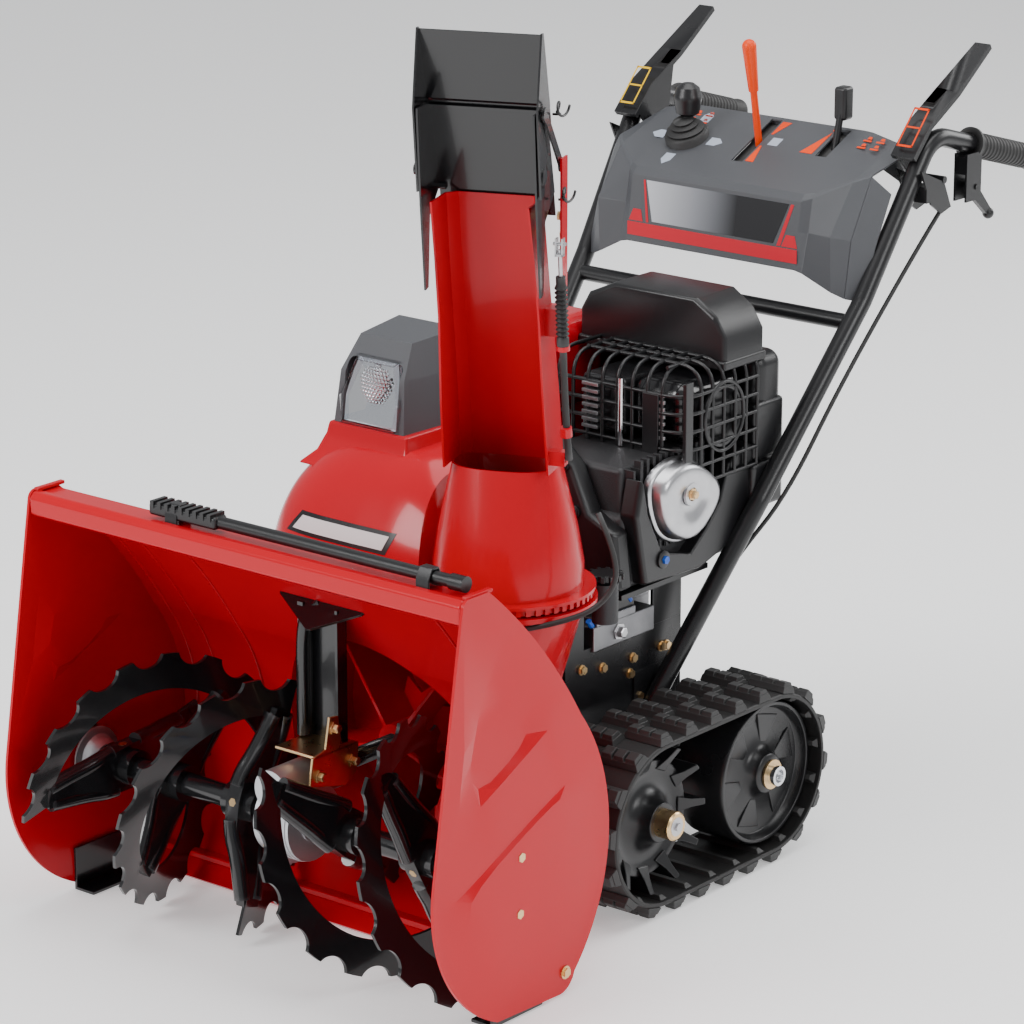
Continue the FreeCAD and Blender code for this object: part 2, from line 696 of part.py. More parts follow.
# ---------------------------------------------------------------- frame, transmission, tracks
def frame_outline():
    front, rear = size("frame_front_y"), size("frame_rear_y")
    bottom, top = size("frame_bottom_z"), size("frame_top_z")
    return path((front, bottom + 60), (front + 50, bottom), (rear - 25, bottom), (rear, bottom + 25),
                (rear, top), (front, top))


def build_main_frame():
    half, plate = size("frame_half_width"), size("frame_plate")
    front, rear = size("frame_front_y"), size("frame_rear_y")
    bottom, top = size("frame_bottom_z"), size("frame_top_z")
    sprocket_y, idler_y, track_z = size("sprocket_y"), size("idler_y"), size("track_radius")
    pieces = [box(-half, half, front, front + plate, bottom + 60, top),
              box(-half, half, rear - plate, rear, bottom + 25, top),
              box(-half, half, front + 50, rear - 25, bottom, bottom + plate),
              box(-half, 182, -125, 60, 388, 395)]
    for sign in (1, -1):
        pieces.append(solid_from(frame_outline(), "YZ", plate, half - plate if sign > 0 else -half))
        wall = half - plate if sign > 0 else -half
        pieces.append(box(wall, wall + plate, -122, -60, top - 1, 389))
        pieces.append(box(wall, wall + plate, -20, rear, top - 1, 389))
        rail = box(175, 179, sprocket_y - 30, idler_y + 30, track_z - 28, track_z + 28)
        tie = box(half - 1, 176, idler_y - 40, idler_y - 16, track_z - 18, track_z + 18)
        axle = Part.makeCylinder(12, 292 - (half - 1), Vector(half - 1, idler_y, track_z), Vector(1, 0, 0))
        foot = box(half - 1, half + 3, -62, -8, 205, 268)
        outboard = [rail, tie, axle, foot]
        if sign < 0:
            outboard = [mirrored(piece) for piece in outboard]
        pieces += outboard
    column = box(118, half, -228, -165, 292, 386).cut(box(110, half - plate, -224, -169, 280, 382))
    frame = pieces[0].fuse(pieces[1:] + [column])
    axle_hole = Part.makeCylinder(14, 500, Vector(-250, sprocket_y, track_z), Vector(1, 0, 0))
    bearing_hole = Part.makeCylinder(37, 40, Vector(0, front - 10, size("impeller_axis_z")), Vector(0, 1, 0))
    duct_room = Part.makeCylinder(112, 200, Vector(size("chute_x"), size("chute_y"), 200))
    frame = frame.cut([axle_hole, bearing_hole, duct_room])
    frame = sorted(frame.Solids, key=lambda piece: piece.Volume)[-1]
    node(feature("MainFrame", frame), "main_frame")
    places = ((-127, 292), (-63, 289), (-69, 269), (-2, 289), (-170, 300), (-49, 233), (9, 288))
    for sign in (1, -1):
        for y, z in places:
            at = (sign * half, y, z)
            FLANGE_BOLTS.append(hex_bolt(at, (sign, 0, 0), across=10, head=6, washer=7, shank=0.01))


def build_transmission():
    """Hydrostatic drive: a ribbed case below, an aluminium cover above and a final drive shaft case."""
    case = soft_box(-120, 120, -130, 35, 230, 330, 10)
    cover = soft_box(-112, 112, -122, 28, 322, 352, 6)
    stubs = [Part.makeCylinder(48, 36, Vector(x, size("sprocket_y"), size("track_radius")), Vector(1, 0, 0))
             for x in (-120, 84)]
    neck = box(-112, 112, -176, -90, 100, 260)
    body = case.fuse([cover, neck] + stubs)
    ribs = [box(x - 2, x + 2, -134, 30, 240, 326) for x in range(-90, 91, 30)]
    axle = Vector(-150, size("sprocket_y"), size("track_radius"))
    bore = Part.makeCylinder(12.1, 300, axle, Vector(1, 0, 0))
    node(feature("Transmission", body.fuse(ribs).cut(bore)), "transmission")


def track_point(distance, radius):
    """Point (y, z) and outward direction on the track's loop, by distance from the lower front."""
    front, rear, z = size("sprocket_y"), size("idler_y"), size("track_radius")
    run = rear - front
    pitch_radius = size("track_belt_outer")
    half_turn = math.pi * pitch_radius
    distance = distance % (2 * run + 2 * half_turn)
    if distance < run:
        return front + distance, z - radius, -90.0
    distance -= run
    if distance < half_turn:
        angle = -90 + 180 * distance / half_turn
        return (rear + radius * math.cos(math.radians(angle)),
                z + radius * math.sin(math.radians(angle)), angle)
    distance -= half_turn
    if distance < run:
        return rear - distance, z + radius, 90.0
    angle = 90 + 180 * (distance - run) / half_turn
    return (front + radius * math.cos(math.radians(angle)),
            z + radius * math.sin(math.radians(angle)), angle)


def track_block(x0, width, distance, inner, outer, length):
    """Block of rubber standing out from the belt at a distance along it."""
    y, z, angle = track_point(distance, inner)
    solid = Part.makeBox(width, length, outer - inner, Vector(0, -length / 2, 0))
    solid.Placement = Placement(Vector(x0, y, z), Rotation(Vector(1, 0, 0), angle - 90))
    return solid


def build_tracks():
    """Closed rubber tracks. Blocks stand in two staggered rows, with drive ribs inside."""
    x0, width = size("track_inner_x"), size("track_width")
    front, rear, z = size("sprocket_y"), size("idler_y"), size("track_radius")
    inner, outer = size("track_belt_inner"), size("track_belt_outer")
    count = int(size("lug_count"))
    loop_length = 2 * (rear - front) + 2 * math.pi * outer

    def stadium(r):
        return path((rear, z - r), (rear + r, z, rear, z + r), (front, z + r), (front - r, z, front, z - r))

    belt = solid_from(stadium(outer), "YZ", width, x0).cut(solid_from(stadium(inner), "YZ", width, x0))
    blocks = []
    for i in range(count):
        at = loop_length * i / count
        half_pitch = loop_length / count / 2
        top = size("track_radius") - 0.6
        blocks.append(track_block(x0, width * 0.52, at, outer - 1, top, 24))
        blocks.append(track_block(x0 + width * 0.48, width * 0.52, at + half_pitch, outer - 1, top, 24))
        blocks.append(track_block(x0 + 8, width - 16, at, inner - 5, inner + 1, 12))
    track = belt.fuse(blocks)
    node(feature("Tracks", Part.makeCompound([track, mirrored(track)])), "tracks")


def sprocket_star(x0, thickness):
    teeth = 11
    points = []
    for i in range(teeth):
        for share, radius in ((-0.22, 78), (-0.13, 97), (0.13, 97), (0.22, 78)):
            angle = 2 * math.pi * (i + share) / teeth
            points.append(("line", Vector(radius * math.cos(angle), radius * math.sin(angle), 0)))
    star = solid_from(points, "YZ", thickness)
    star.translate(Vector(x0, size("sprocket_y"), size("track_radius")))
    return star


def build_sprockets_and_idlers():
    sprocket_y, idler_y, z = size("sprocket_y"), size("idler_y"), size("track_radius")
    along = Vector(1, 0, 0)
    axle = Part.makeCylinder(size("axle_radius"), 200, Vector(121, sprocket_y, z), along)
    hub = Part.makeCylinder(30, 84, Vector(206, sprocket_y, z), along)
    dish = Part.makeCylinder(66, 8, Vector(250, sprocket_y, z), along)
    sleeve = Part.makeCylinder(19, 30, Vector(286, sprocket_y, z), along)
    pins = [Part.makeCylinder(7, 60, Vector(212, sprocket_y + 72 * math.cos(a), z + 72 * math.sin(a)), along)
            for a in [2 * math.pi * i / 11 for i in range(11)]]
    sprocket = axle.fuse([hub, dish, sleeve, sprocket_star(212, 12), sprocket_star(260, 12)] + pins)
    bore = size("axle_radius") + 0.05
    profile = [(206, bore), (206, 30), (240, 34), (240, 84), (206, 88), (206, 98.5), (284, 98.5),
               (284, 88), (250, 84), (250, 60), (262, 34), (290, 30), (290, bore)]
    idler = turned("Idler_left", profile, (0, idler_y, z), (1, 0, 0))
    node(feature("Sprocket_left", sprocket), "sprocket_left")
    node(feature("Sprocket_right", mirrored(sprocket)), "sprocket_right")
    node(idler, "idler_left")
    node(turned("Idler_right", profile, (0, idler_y, z), (-1, 0, 0)), "idler_right")


# ---------------------------------------------------------------- engine
CRANK_X, CRANK_Z = 20, 520


def build_engine_block():
    crankcase = soft_box(-58, 178, -118, 118, 396, 500, 12)
    cylinder_body = soft_box(20, 168, -110, 60, 470, 558, 8)
    fins = [box(96, 182, -102 + 14 * i, -98 + 14 * i, 440, 556) for i in range(11)]
    shaft_nose = Part.makeCylinder(16, 102, Vector(CRANK_X, -212, CRANK_Z), Vector(0, 1, 0))
    block_shape = crankcase.fuse([cylinder_body, shaft_nose] + fins)
    node(feature("EngineBlock", block_shape), "engine_block")
    head = soft_box(183, 206, -32, 84, 446, 562, 9)
    plug = Part.makeCylinder(8, 9, Vector(203, 26, 504), Vector(1, 0, 0))
    node(feature("CylinderHeadCover", head.fuse(plug)), "cylinder_head_cover")


def build_muffler():
    drum = soft_box(96, 188, -2, 124, 566, 648, 22)
    outlet = Part.makeCylinder(13, 24, Vector(150, -22, 612), Vector(0, 1, 0))
    pipe = Part.makeCylinder(12, 30, Vector(140, 60, 545), Vector(0, 0, 1))
    node(feature("Muffler", drum.fuse([outlet, pipe])), "muffler")


def build_muffler_guard():
    """Open grille around the muffler: front, outer side and top."""
    x0, x1, y0, y1, z0, z1 = -5, 202, -22, 136, 556, 658
    wire = 4
    bars = []
    for i in range(9):
        x = x0 + (x1 - x0 - wire) * i / 8
        bars.append(box(x, x + wire, y0, y0 + wire, z0, z1))
        bars.append(box(x, x + wire, y0, y1, z1 - wire, z1))
    for i in range(5):
        z = z0 + (z1 - z0 - wire) * i / 4
        bars.append(box(x0, x1, y0, y0 + wire, z, z + wire))
        bars.append(box(x1 - wire, x1, y0, y1, z, z + wire))
    for i in range(6):
        y = y0 + (y1 - y0 - wire) * i / 5
        bars.append(box(x1 - wire, x1, y, y + wire, z0, z1))
        bars.append(box(x0, x1, y, y + wire, z1 - wire, z1))
    hoop = ring(30, 26, wire, (x1 - wire, 62, 606), (1, 0, 0))
    core = Part.makeCylinder(26, 3 * wire, Vector(x1 - 2 * wire, 62, 606), Vector(1, 0, 0))
    guard = bars[0].fuse(bars[1:]).cut(core).fuse(hoop)
    node(feature("MufflerGuard", guard), "muffler_guard")


def build_engine_covers():
    air = soft_box(-35, 192, 70, 150, 660, 748, 20)
    node(feature("AirCleanerCover", air), "air_cleaner_cover")
    shroud = soft_box(-148, 200, 141, 200, 463, 663, 20)
    fan_room = Part.makeCylinder(92, 70, Vector(CRANK_X, 138, CRANK_Z + 20), Vector(0, 1, 0))
    node(feature("EngineShroud", shroud.cut(fan_room)), "engine_shroud")
    tank = soft_box(-200, -42, -62, 132, 565, 690, 26)
    tank_leg = box(-150, -60, 0, 100, 500, 570)
    filler = Part.makeCylinder(24, 12, Vector(-120, 20, 684), Vector(0, 0, 1))
    node(feature("FuelTank", tank.fuse([tank_leg, filler])), "fuel_tank")
    cap_profile = [(0, 0), (0, 30), (14, 30), (18, 26), (18, 0)]
    node(turned("FuelCap", cap_profile, (-120, 20, 696.3), (0, 0, 1)), "fuel_cap")


def build_recoil():
    """Starter housing at the rear, with its pull handle, the choke knob and the engine switch."""
    back = 200
    profile = [(0, 0), (0, 108), (18, 104), (34, 70), (34, 0)]
    housing = turned("RecoilBowl", profile, (CRANK_X, back, CRANK_Z + 20), (0, 1, 0))
    node(housing, "recoil_housing")
    bar = soft_box(CRANK_X + 62, CRANK_X + 142, back + 24, back + 44, 606, 628, 8)
    node(feature("RecoilHandle", bar), "recoil_handle")
    knob = turned("ChokeKnob", [(0, 0), (0, 4), (14, 4), (14, 13), (24, 13), (24, 0)],
                  (-96, back + 0.3, 620), (0, 1, 0))
    node(knob, "choke_knob")
    switch = soft_box(-128, -90, back + 0.4, back + 16, 566, 578, 4)
    hub = Part.makeCylinder(8, 14, Vector(-109, back + 0.4, 572), Vector(0, 1, 0))
    node(feature("EngineSwitch", switch.fuse(hub)), "engine_switch")


def belt_loop(lower, lower_radius, upper, upper_radius, width):
    """Prism of the outline around two sheaves, in the plane of the belt."""
    line = upper - lower
    lean = math.asin((lower_radius - upper_radius) / line.Length)
    along = math.atan2(line.z, line.x)
    points = []
    for turn in (-math.pi / 2 - lean, math.pi / 2 + lean):
        for centre, radius in ((lower, lower_radius), (upper, upper_radius)):
            angle = along + (-math.pi / 2 + lean if turn < 0 else math.pi / 2 - lean)
            points.append((centre.x + radius * math.cos(angle), centre.z + radius * math.sin(angle)))
    up, down = along, along + math.pi
    right_low, right_high, left_low, left_high = points
    loop = path(right_low, right_high,
                (upper.x + upper_radius * math.cos(up), upper.z + upper_radius * math.sin(up), *left_high),
                left_low,
                (lower.x + lower_radius * math.cos(down),
                 lower.z + lower_radius * math.sin(down), *right_low))
    return solid_from(loop, "XZ", width, -BELT_PLANE_Y - width / 2)


def build_belt_drive():
    sheave = [(0, 16.05), (0, 40), (4, 44), (6, 44), (13, 32), (20, 44), (22, 44), (26, 40), (26, 16.05)]
    node(turned("CrankPulley", sheave, (CRANK_X, BELT_PLANE_Y - 13, CRANK_Z), (0, 1, 0)), "crank_pulley")
    lower, upper = Vector(0, 0, size("impeller_axis_z")), Vector(CRANK_X, 0, CRANK_Z)
    band = belt_loop(lower, 84, upper, 52, 20).cut(belt_loop(lower, 77, upper, 45, 20))
    node(feature("AugerBelt", band), "auger_belt")


# ---------------------------------------------------------------- chute
CHUTE_SEAM_Z = 485
CHUTE_CONE_TOP_Z = 614
CHUTE_TOP_Z = 962
CHUTE_BACK = ((614, -24), (700, -10), (790, 10), (850, 25), (950, 46), (962, 50))
CHUTE_FRONT = ((614, 55), (700, 70), (810, 82), (890, 100), (962, 120))


def along_line(points, z):
    """Linear reading of a (z, value) list."""
    for (z0, v0), (z1, v1) in zip(points, points[1:]):
        if z <= z1:
            return v0 + (v1 - v0) * (z - z0) / (z1 - z0)
    return points[-1][1]


def chute_places():
    return Placement(Vector(size("chute_x"), size("chute_y"), 0),
                     Rotation(Vector(0, 0, 1), size("chute_turn_deg")))


def in_chute(shape):
    """Move a shape drawn in the chute's own frame, whose -Y looks out of the chute."""
    moved = shape.copy()
    moved.Placement = chute_places().multiply(moved.Placement)
    return moved


def chute_half_width(z):
    return 68 - 6 * (z - CHUTE_CONE_TOP_Z) / (CHUTE_TOP_Z - CHUTE_CONE_TOP_Z)


def trough_section(z, sheet):
    """U-shaped section of the channel: open towards the front."""
    half, front, back = chute_half_width(z), along_line(CHUTE_FRONT, z), along_line(CHUTE_BACK, z)
    outer = [(-half, -front), (-half, -back - 12), (-half + 12, -back), (half - 12, -back),
             (half, -back - 12), (half, -front)]
    inner = [(half - sheet, -front), (half - sheet, -back - 12 - sheet), (half - 12 - sheet, -back - sheet),
             (-half + 12 + sheet, -back - sheet), (-half + sheet, -back - 12 - sheet),
             (-half + sheet, -front)]
    return [(x, y, z) for x, y in outer + inner]


def cone_section(z, share, inset, count=48):
    """Section between the round ring, at share 0, and the flat-sided throat of the channel, at share 1."""
    radius = size("chute_radius") - inset
    half = chute_half_width(CHUTE_CONE_TOP_Z) - inset
    front, back = 55 - inset, -24 + inset
    points = []
    for i in range(count):
        angle = 2 * math.pi * i / count
        c, s = math.cos(angle), math.sin(angle)
        power = 0.75 if s < 0 else 0.45
        x = half * math.copysign(abs(c) ** power, c)
        reach = front - 6 if s < 0 else -back + 6
        y = -6 + reach * math.copysign(abs(s) ** power, s)
        points.append(((1 - share) * radius * c + share * x, (1 - share) * radius * s + share * y, z))
    return points


def build_chute():
    sheet = size("chute_sheet")
    ring_z = size("chute_base_z") + 1
    levels = [(ring_z + 12, 0.0), (CHUTE_SEAM_Z, 0.0), (CHUTE_SEAM_Z + 45, 0.28),
              (CHUTE_SEAM_Z + 90, 0.66), (CHUTE_CONE_TOP_Z, 1.0)]
    outer = lofted([cone_section(z, share, 0) for z, share in levels])
    inner = lofted([cone_section(z, share, sheet) for z, share in levels])
    cone = outer.cut(inner)
    heights = sorted(set([z for z, _ in CHUTE_BACK] + [z for z, _ in CHUTE_FRONT]))
    trough = lofted([trough_section(z, sheet) for z in heights])
    flange = ring(110, 92.5, 4, (0, 0, ring_z + 8))
    gear_teeth = 54
    gear = ring(104.5, 92.5, 8, (0, 0, ring_z))
    teeth = []
    for i in range(gear_teeth):
        tooth = box(103, 108, -3.2, 3.2, ring_z, ring_z + 8)
        tooth.rotate(Vector(0, 0, 0), Vector(0, 0, 1), 360 * i / gear_teeth)
        teeth.append(tooth)
    mount = box(64, 88, -54, -39, 627, 645)
    link_post = box(63, 86, -62, -38, 792, 826).fuse(box(83.4, 86, -62, -38, 792, 1012))
    chute = cone.fuse([trough, flange, gear, mount, link_post] + teeth)
    node(feature("Chute", in_chute(chute)), "chute")


def deflector_sides(points, inner, thickness):
    """Two flat walls of an outline in (forward, up), standing at either side of the chute."""
    loop = [("line", Vector(-forward, up, 0)) for forward, up in points]
    wall = solid_from(loop, "YZ", thickness, inner)
    return [wall, mirrored(wall)]


def back_tail(line, half):
    """Lower end of a deflector's back, lapping behind the sheet below it, through (y, z) points."""
    return lofted([rect_section((0, y, z), (1, 0, 0), (0, 1, 0.3), half, 1.2) for y, z in line])


def build_deflectors():
    lower = deflector_sides([(52, 968), (90, 940), (97, 852), (108, 850), (124, 960), (136, 1070),
                             (136, 1078), (84, 1078)], 71, 2.5)
    back_half = 73.5
    lower_back = lofted([rect_section((0, -51, 968), (1, 0, 0), (0, 1, 0.3), back_half, 1.2),
                         rect_section((0, -85, 1074), (1, 0, 0), (0, 1, 0.3), back_half, 1.2)])
    lower_pins = [Part.makeCylinder(4, 9.2, Vector(x, -54, 968), Vector(1, 0, 0)) for x in (62.3, -71.5)]
    lower_tail = back_tail(((-41.6, 938), (-47.6, 961), (-50.6, 971)), 72)
    lower_pieces = lower + lower_pins + [lower_tail]
    node(feature("LowerDeflector", in_chute(lower_back.fuse(lower_pieces))), "lower_deflector")
    upper = deflector_sides([(86, 1081), (110, 976), (122, 974), (137, 1078), (120, 1172), (114, 1172)],
                            75.5, 2.5)
    upper_back = lofted([rect_section((0, -88, 1083), (1, 0, 0), (0, 1, 0.3), 78, 1.2),
                         rect_section((0, -116, 1170), (1, 0, 0), (0, 1, 0.3), 78, 1.2)])
    washers = [Part.makeCylinder(9, 1.6, Vector(77.9, -112, 1000), Vector(1, 0, 0)),
               Part.makeCylinder(7, 5, Vector(-77.9, -112, 1000), Vector(-1, 0, 0))]
    upper_tail = back_tail(((-76.0, 1058), (-81.2, 1079), (-88.2, 1086.5)), 76)
    upper_pins = [Part.makeCylinder(3.5, 3.2, Vector(x, -88, 1079), Vector(1, 0, 0)) for x in (73.9, -77.1)]
    upper_pieces = upper + washers + upper_pins + [upper_tail]
    node(feature("UpperDeflector", in_chute(upper_back.fuse(upper_pieces))), "upper_deflector")
    start, end = Vector(80.2, -52, 1003), Vector(80.2, -119, 1076)
    across = (end - start).normalize().cross(Vector(1, 0, 0)) * 6
    corners = [start + across, end + across, end - across, start - across, start + across]
    bar = Part.Face(Part.makePolygon(corners)).extrude(Vector(2.6, 0, 0))
    eyes = [Part.makeCylinder(9, 2.6, p, Vector(1, 0, 0)) for p in (start, end)]
    node(feature("DeflectorLink", in_chute(bar.fuse(eyes))), "deflector_link")


def build_chute_hose():
    """Cable hose up the side of the chute, with its bellows and clevis."""
    side = 92
    hose = tube([(side + 0.8, -50, 636), (side, -66, 690), (side, -77, 790)], 4.5, bend=60)
    bellows = tube([(side, -76.5, 786), (side, -88, 874)], 8)
    rod = tube([(side, -87, 868), (side, -92, 906)], 2.5)
    clevis = box(side - 5, side + 5, -97, -87, 902, 922)
    stand = box(88, side, -54, -46, 630, 641)
    node(feature("ChuteHose", in_chute(hose.fuse([bellows, rod, clevis, stand]))), "chute_hose")


MOTOR_BEARING_DEG = 62
PINION_REACH = 132.4


def build_chute_motor():
    angle = math.radians(MOTOR_BEARING_DEG)
    x = size("chute_x") + PINION_REACH * math.cos(angle)
    y = size("chute_y") + PINION_REACH * math.sin(angle)
    base = size("chute_base_z")
    motor = Part.makeCylinder(17, 52, Vector(x, y, base - 56))
    neck = Part.makeCylinder(8, 4, Vector(x, y, base - 5))
    node(feature("ChuteMotor", motor.fuse(neck)), "chute_motor")
    teeth = [Part.makeCylinder(19, 8, Vector(x, y, base + 1))]
    for i in range(12):
        tooth = box(x + 17, x + 24, y - 2.6, y + 2.6, base + 1, base + 9)
        tooth.rotate(Vector(x, y, 0), Vector(0, 0, 1), 30 * i)
        teeth.append(tooth)
    pinion = teeth[0].fuse(teeth[1:])
    node(feature("ChutePinion", pinion), "chute_pinion")


# ---------------------------------------------------------------- handlebars and levers
TUBE_ROUTE = ((164, -35, 222), (214, 128, 470), (235, 325, 706), (246, 463, 912), (252, 690, 847))


def build_handlebars():
    radius = size("tube_radius")
    pieces = []
    for sign in (1, -1):
        route = [(sign * x, y, z) for x, y, z in TUBE_ROUTE]
        pieces.append(tube(route, radius, bend=45))
        pivot = (470, 852)
        outer = [(414, 872), (470, 849), (488, 812), (465, 806), (440, 822)]
        loop = [("line", Vector(y, z, 0)) for y, z in outer]
        for x in (222, 262):
            pieces.append(solid_from(loop, "YZ", 3, x if sign > 0 else -x - 3))
        pin = Part.makeCylinder(5, 52, Vector(sign * 214, *pivot), Vector(sign, 0, 0))
        pieces.append(pin)
        rest = box(222, 265, 428, 450, 826, 848)
        pieces.append(rest if sign > 0 else mirrored(rest))
        for x in (247, 265):
            cheek = box(x, x + 3, 520, 556, 812, 878)
            pieces.append(cheek if sign > 0 else mirrored(cheek))
        bridge = box(247, 268, 520, 534, 850, 874)
        pieces.append(bridge if sign > 0 else mirrored(bridge))
        pin = Part.makeCylinder(4, 24, Vector(sign * 246, 544, 830), Vector(sign, 0, 0))
        pieces.append(pin)
    brace = tube([(-232, 306, 680), (232, 306, 680)], 11)
    pieces.append(brace)
    bars = pieces[0].fuse(pieces[1:])
    node(feature("Handlebars", bars), "handlebars")
    grips = []
    for sign in (1, -1):
        start, end = Vector(sign * 248.4, 553, 886.2), Vector(sign * 252, 690, 847)
        along = (end - start).normalize()
        length = (end - start).Length + 14
        core = Part.makeCylinder(size("grip_radius"), length, start, along)
        bore = Part.makeCylinder(radius, length - 14, start, along)
        grips.append(core.cut(bore))
    node(feature("HandleGrips", Part.makeCompound(grips)), "handle_grips")


def lever_plate(points, thickness, x0, width):
    """Strip bent along (y, z) points, with its thickness to one side."""
    vectors = [Vector(y, z, 0) for y, z in points]
    normals = []
    for i in range(len(vectors)):
        before = vectors[max(i - 1, 0)]
        after = vectors[min(i + 1, len(vectors) - 1)]
        direction = (after - before).normalize()
        normals.append(Vector(direction.y, -direction.x, 0))
    lower = [v + n * thickness for v, n in zip(vectors, normals)]
    loop = [("line", v) for v in vectors + lower[::-1]]
    return solid_from(loop, "YZ", width, x0)


def build_clutch_levers():
    width = size("lever_width")
    x0 = 235 - width / 2
    top = lever_plate([(411, 889), (449, 928), (517, 965), (600, 1016)], 8, x0, width)
    taper = [solid_from([("line", Vector(x0 - 1, 500, 0)), ("line", Vector(x0 + 9, 640, 0)),
                         ("line", Vector(x0 - 1, 640, 0))], "XY", 300, 800),
             solid_from([("line", Vector(x0 + width + 1, 500, 0)), ("line", Vector(x0 + width - 9, 640, 0)),
                         ("line", Vector(x0 + width + 1, 640, 0))], "XY", 300, 800)]
    top = top.cut(taper)
    cheek_loop = [("line", Vector(y, z, 0)) for y, z in
                  ((420, 890), (452, 923), (500, 950), (492, 900), (482, 846), (470, 840), (458, 846))]
    cheek = solid_from(cheek_loop, "YZ", 4, x0)
    pin_hole = Part.makeCylinder(5.06, 60, Vector(200, 470, 852), Vector(1, 0, 0))
    lever = top.fuse(cheek).cut(pin_hole)
    node(feature("ClutchLever_left", lever), "clutch_lever_left")
    node(feature("ClutchLever_right", mirrored(lever)), "clutch_lever_right")


def build_steering_levers():
    blade_loop = [("line", Vector(y, z, 0)) for y, z in ((536, 838), (550, 838), (596, 788), (588, 781),
                                                        (538, 822))]
    blade = solid_from(blade_loop, "YZ", 7, 254)
    boss = Part.makeCylinder(9, 7, Vector(254, 544, 830), Vector(1, 0, 0))
    ball = Part.makeSphere(8, Vector(257.5, 592, 784))
    hole = Part.makeCylinder(4.05, 40, Vector(240, 544, 830), Vector(1, 0, 0))
    lever = blade.fuse([boss, ball]).cut(hole)
    node(feature("SteeringLever_left", lever), "steering_lever_left")
    node(feature("SteeringLever_right", mirrored(lever)), "steering_lever_right")


# ---------------------------------------------------------------- console
JOYSTICK_AT = (-109, 391)
SHIFT_X, THROTTLE_X = -3, 112


def console_section(x, points, wall):
    """Angle-shaped section of the console: the face and the top, open below and behind."""
    outer = [Vector(y, z, 0) for y, z in points]
    inner = []
    for i in range(len(outer)):
        normals = []
        if i > 0:
            step = (outer[i] - outer[i - 1]).normalize()
            normals.append(Vector(step.y, -step.x, 0))
        if i < len(outer) - 1:
            step = (outer[i + 1] - outer[i]).normalize()
            normals.append(Vector(step.y, -step.x, 0))
        normal = sum(normals[1:], normals[0]).normalize()
        inner.append(outer[i] + normal * (wall / max(normal.dot(normals[0]), 0.4)))
    return [(x, p.x, p.y) for p in outer + inner[::-1]]


def build_console():
    shapes = ((0, ((297, 740), (314, 838), (461, 905), (472, 862))),
              (160, ((297, 740), (314, 836), (461, 904), (472, 856))),
              (200, ((306, 716), (346, 858), (458, 895), (466, 842))),
              (214, ((316, 706), (362, 868), (452, 880), (460, 832))))
    stations = [(-x, pts) for x, pts in shapes[:0:-1]] + list(shapes)
    shell = lofted([console_section(x, pts, 4) for x, pts in stations])
    ends = []
    for sign in (1, -1):
        loop = [("line", Vector(y, z, 0)) for y, z in shapes[-1][1]]
        plate = solid_from(loop, "YZ", 4, 211 if sign > 0 else -215)
        ends.append(plate)
    slots = [box(SHIFT_X - 9, SHIFT_X + 9, 365, 455, 800, 960),
             box(THROTTLE_X - 9, THROTTLE_X + 9, 398, 458, 800, 960),
             Part.makeCylinder(26, 200, Vector(*JOYSTICK_AT, 780))]
    tubes = [tube([(sign * x, y, z) for x, y, z in TUBE_ROUTE], size("tube_radius"), bend=45)
             for sign in (1, -1)]
    bracket = box(-146, 160, 380, 440, 786, 792)
    console = shell.fuse(ends).cut(slots + tubes)
    console = sorted(console.Solids, key=lambda piece: piece.Volume)[-1]
    legs = [box(-146, -142, 380, 440, 786, 870), box(156, 160, 380, 440, 786, 870)]
    node(feature("Console", console.fuse([bracket] + legs)), "console")


def lever_stem(x, pivot, tip, radius):
    return tube([(x, *pivot), (x, *tip)], radius)


def build_console_levers():
    shift = lever_stem(SHIFT_X, (427, 803), (389, 1004), 5)
    start, end = Vector(SHIFT_X, 399, 951), Vector(SHIFT_X, 387, 1014)
    grip = Part.makeCone(7, 10, (end - start).Length, start, (end - start).normalize())
    knob = Part.makeSphere(10, end)
    boss = Part.makeCylinder(9, 20, Vector(SHIFT_X - 10, 427, 803), Vector(1, 0, 0))
    node(feature("ShiftLever", shift.fuse([grip, knob, boss])), "shift_lever")
    throttle = lever_stem(THROTTLE_X, (411, 803), (448, 950), 5)
    paddle = soft_box(THROTTLE_X - 10, THROTTLE_X + 10, 438, 460, 918, 964, 5)
    boss = Part.makeCylinder(9, 20, Vector(THROTTLE_X - 10, 411, 803), Vector(1, 0, 0))
    node(feature("ThrottleLever", throttle.fuse([paddle, boss])), "throttle_lever")


def build_joystick():
    x, y = JOYSTICK_AT
    z = 852
    fork = ring(22, 17, 10, (x, y, z - 5))
    pins = [Part.makeCylinder(3, 4, Vector(x + 21, y, z), Vector(1, 0, 0)),
            Part.makeCylinder(3, 4, Vector(x - 21, y, z), Vector(-1, 0, 0))]
    node(feature("JoystickGimbal", fork.fuse(pins)), "joystick_gimbal")
    profile = [(-8, 0), (-8, 12), (8, 12), (14, 9), (52, 8), (56, 16), (78, 20), (92, 16), (98, 8), (98, 0)]
    stick = turned("JoystickStick", profile, (x, y, z), (0, 0, 1))
    doc.recompute()
    pin = Part.makeCylinder(3, 33, Vector(x, y - 16.5, z), Vector(0, 1, 0))
    node(feature("Joystick", stick.Shape.fuse(pin)), "joystick")


# ---------------------------------------------------------------- clean-out tool and cables
def build_snow_tool():
    z, y = 566, -623
    rod = Part.makeCylinder(8, 380, Vector(-60, y, z), Vector(1, 0, 0))
    cap = Part.makeCylinder(10, 22, Vector(318, y, z), Vector(1, 0, 0))
    paddle = soft_box(-162, -50, y - 12, y + 12, z - 8, z + 8, 4)
    teeth = [box(-158 + 12 * i, -152 + 12 * i, y - 13, y + 13, z + 2, z + 11) for i in range(9)]
    node(feature("SnowTool", rod.fuse([cap, paddle] + teeth)), "snow_tool")


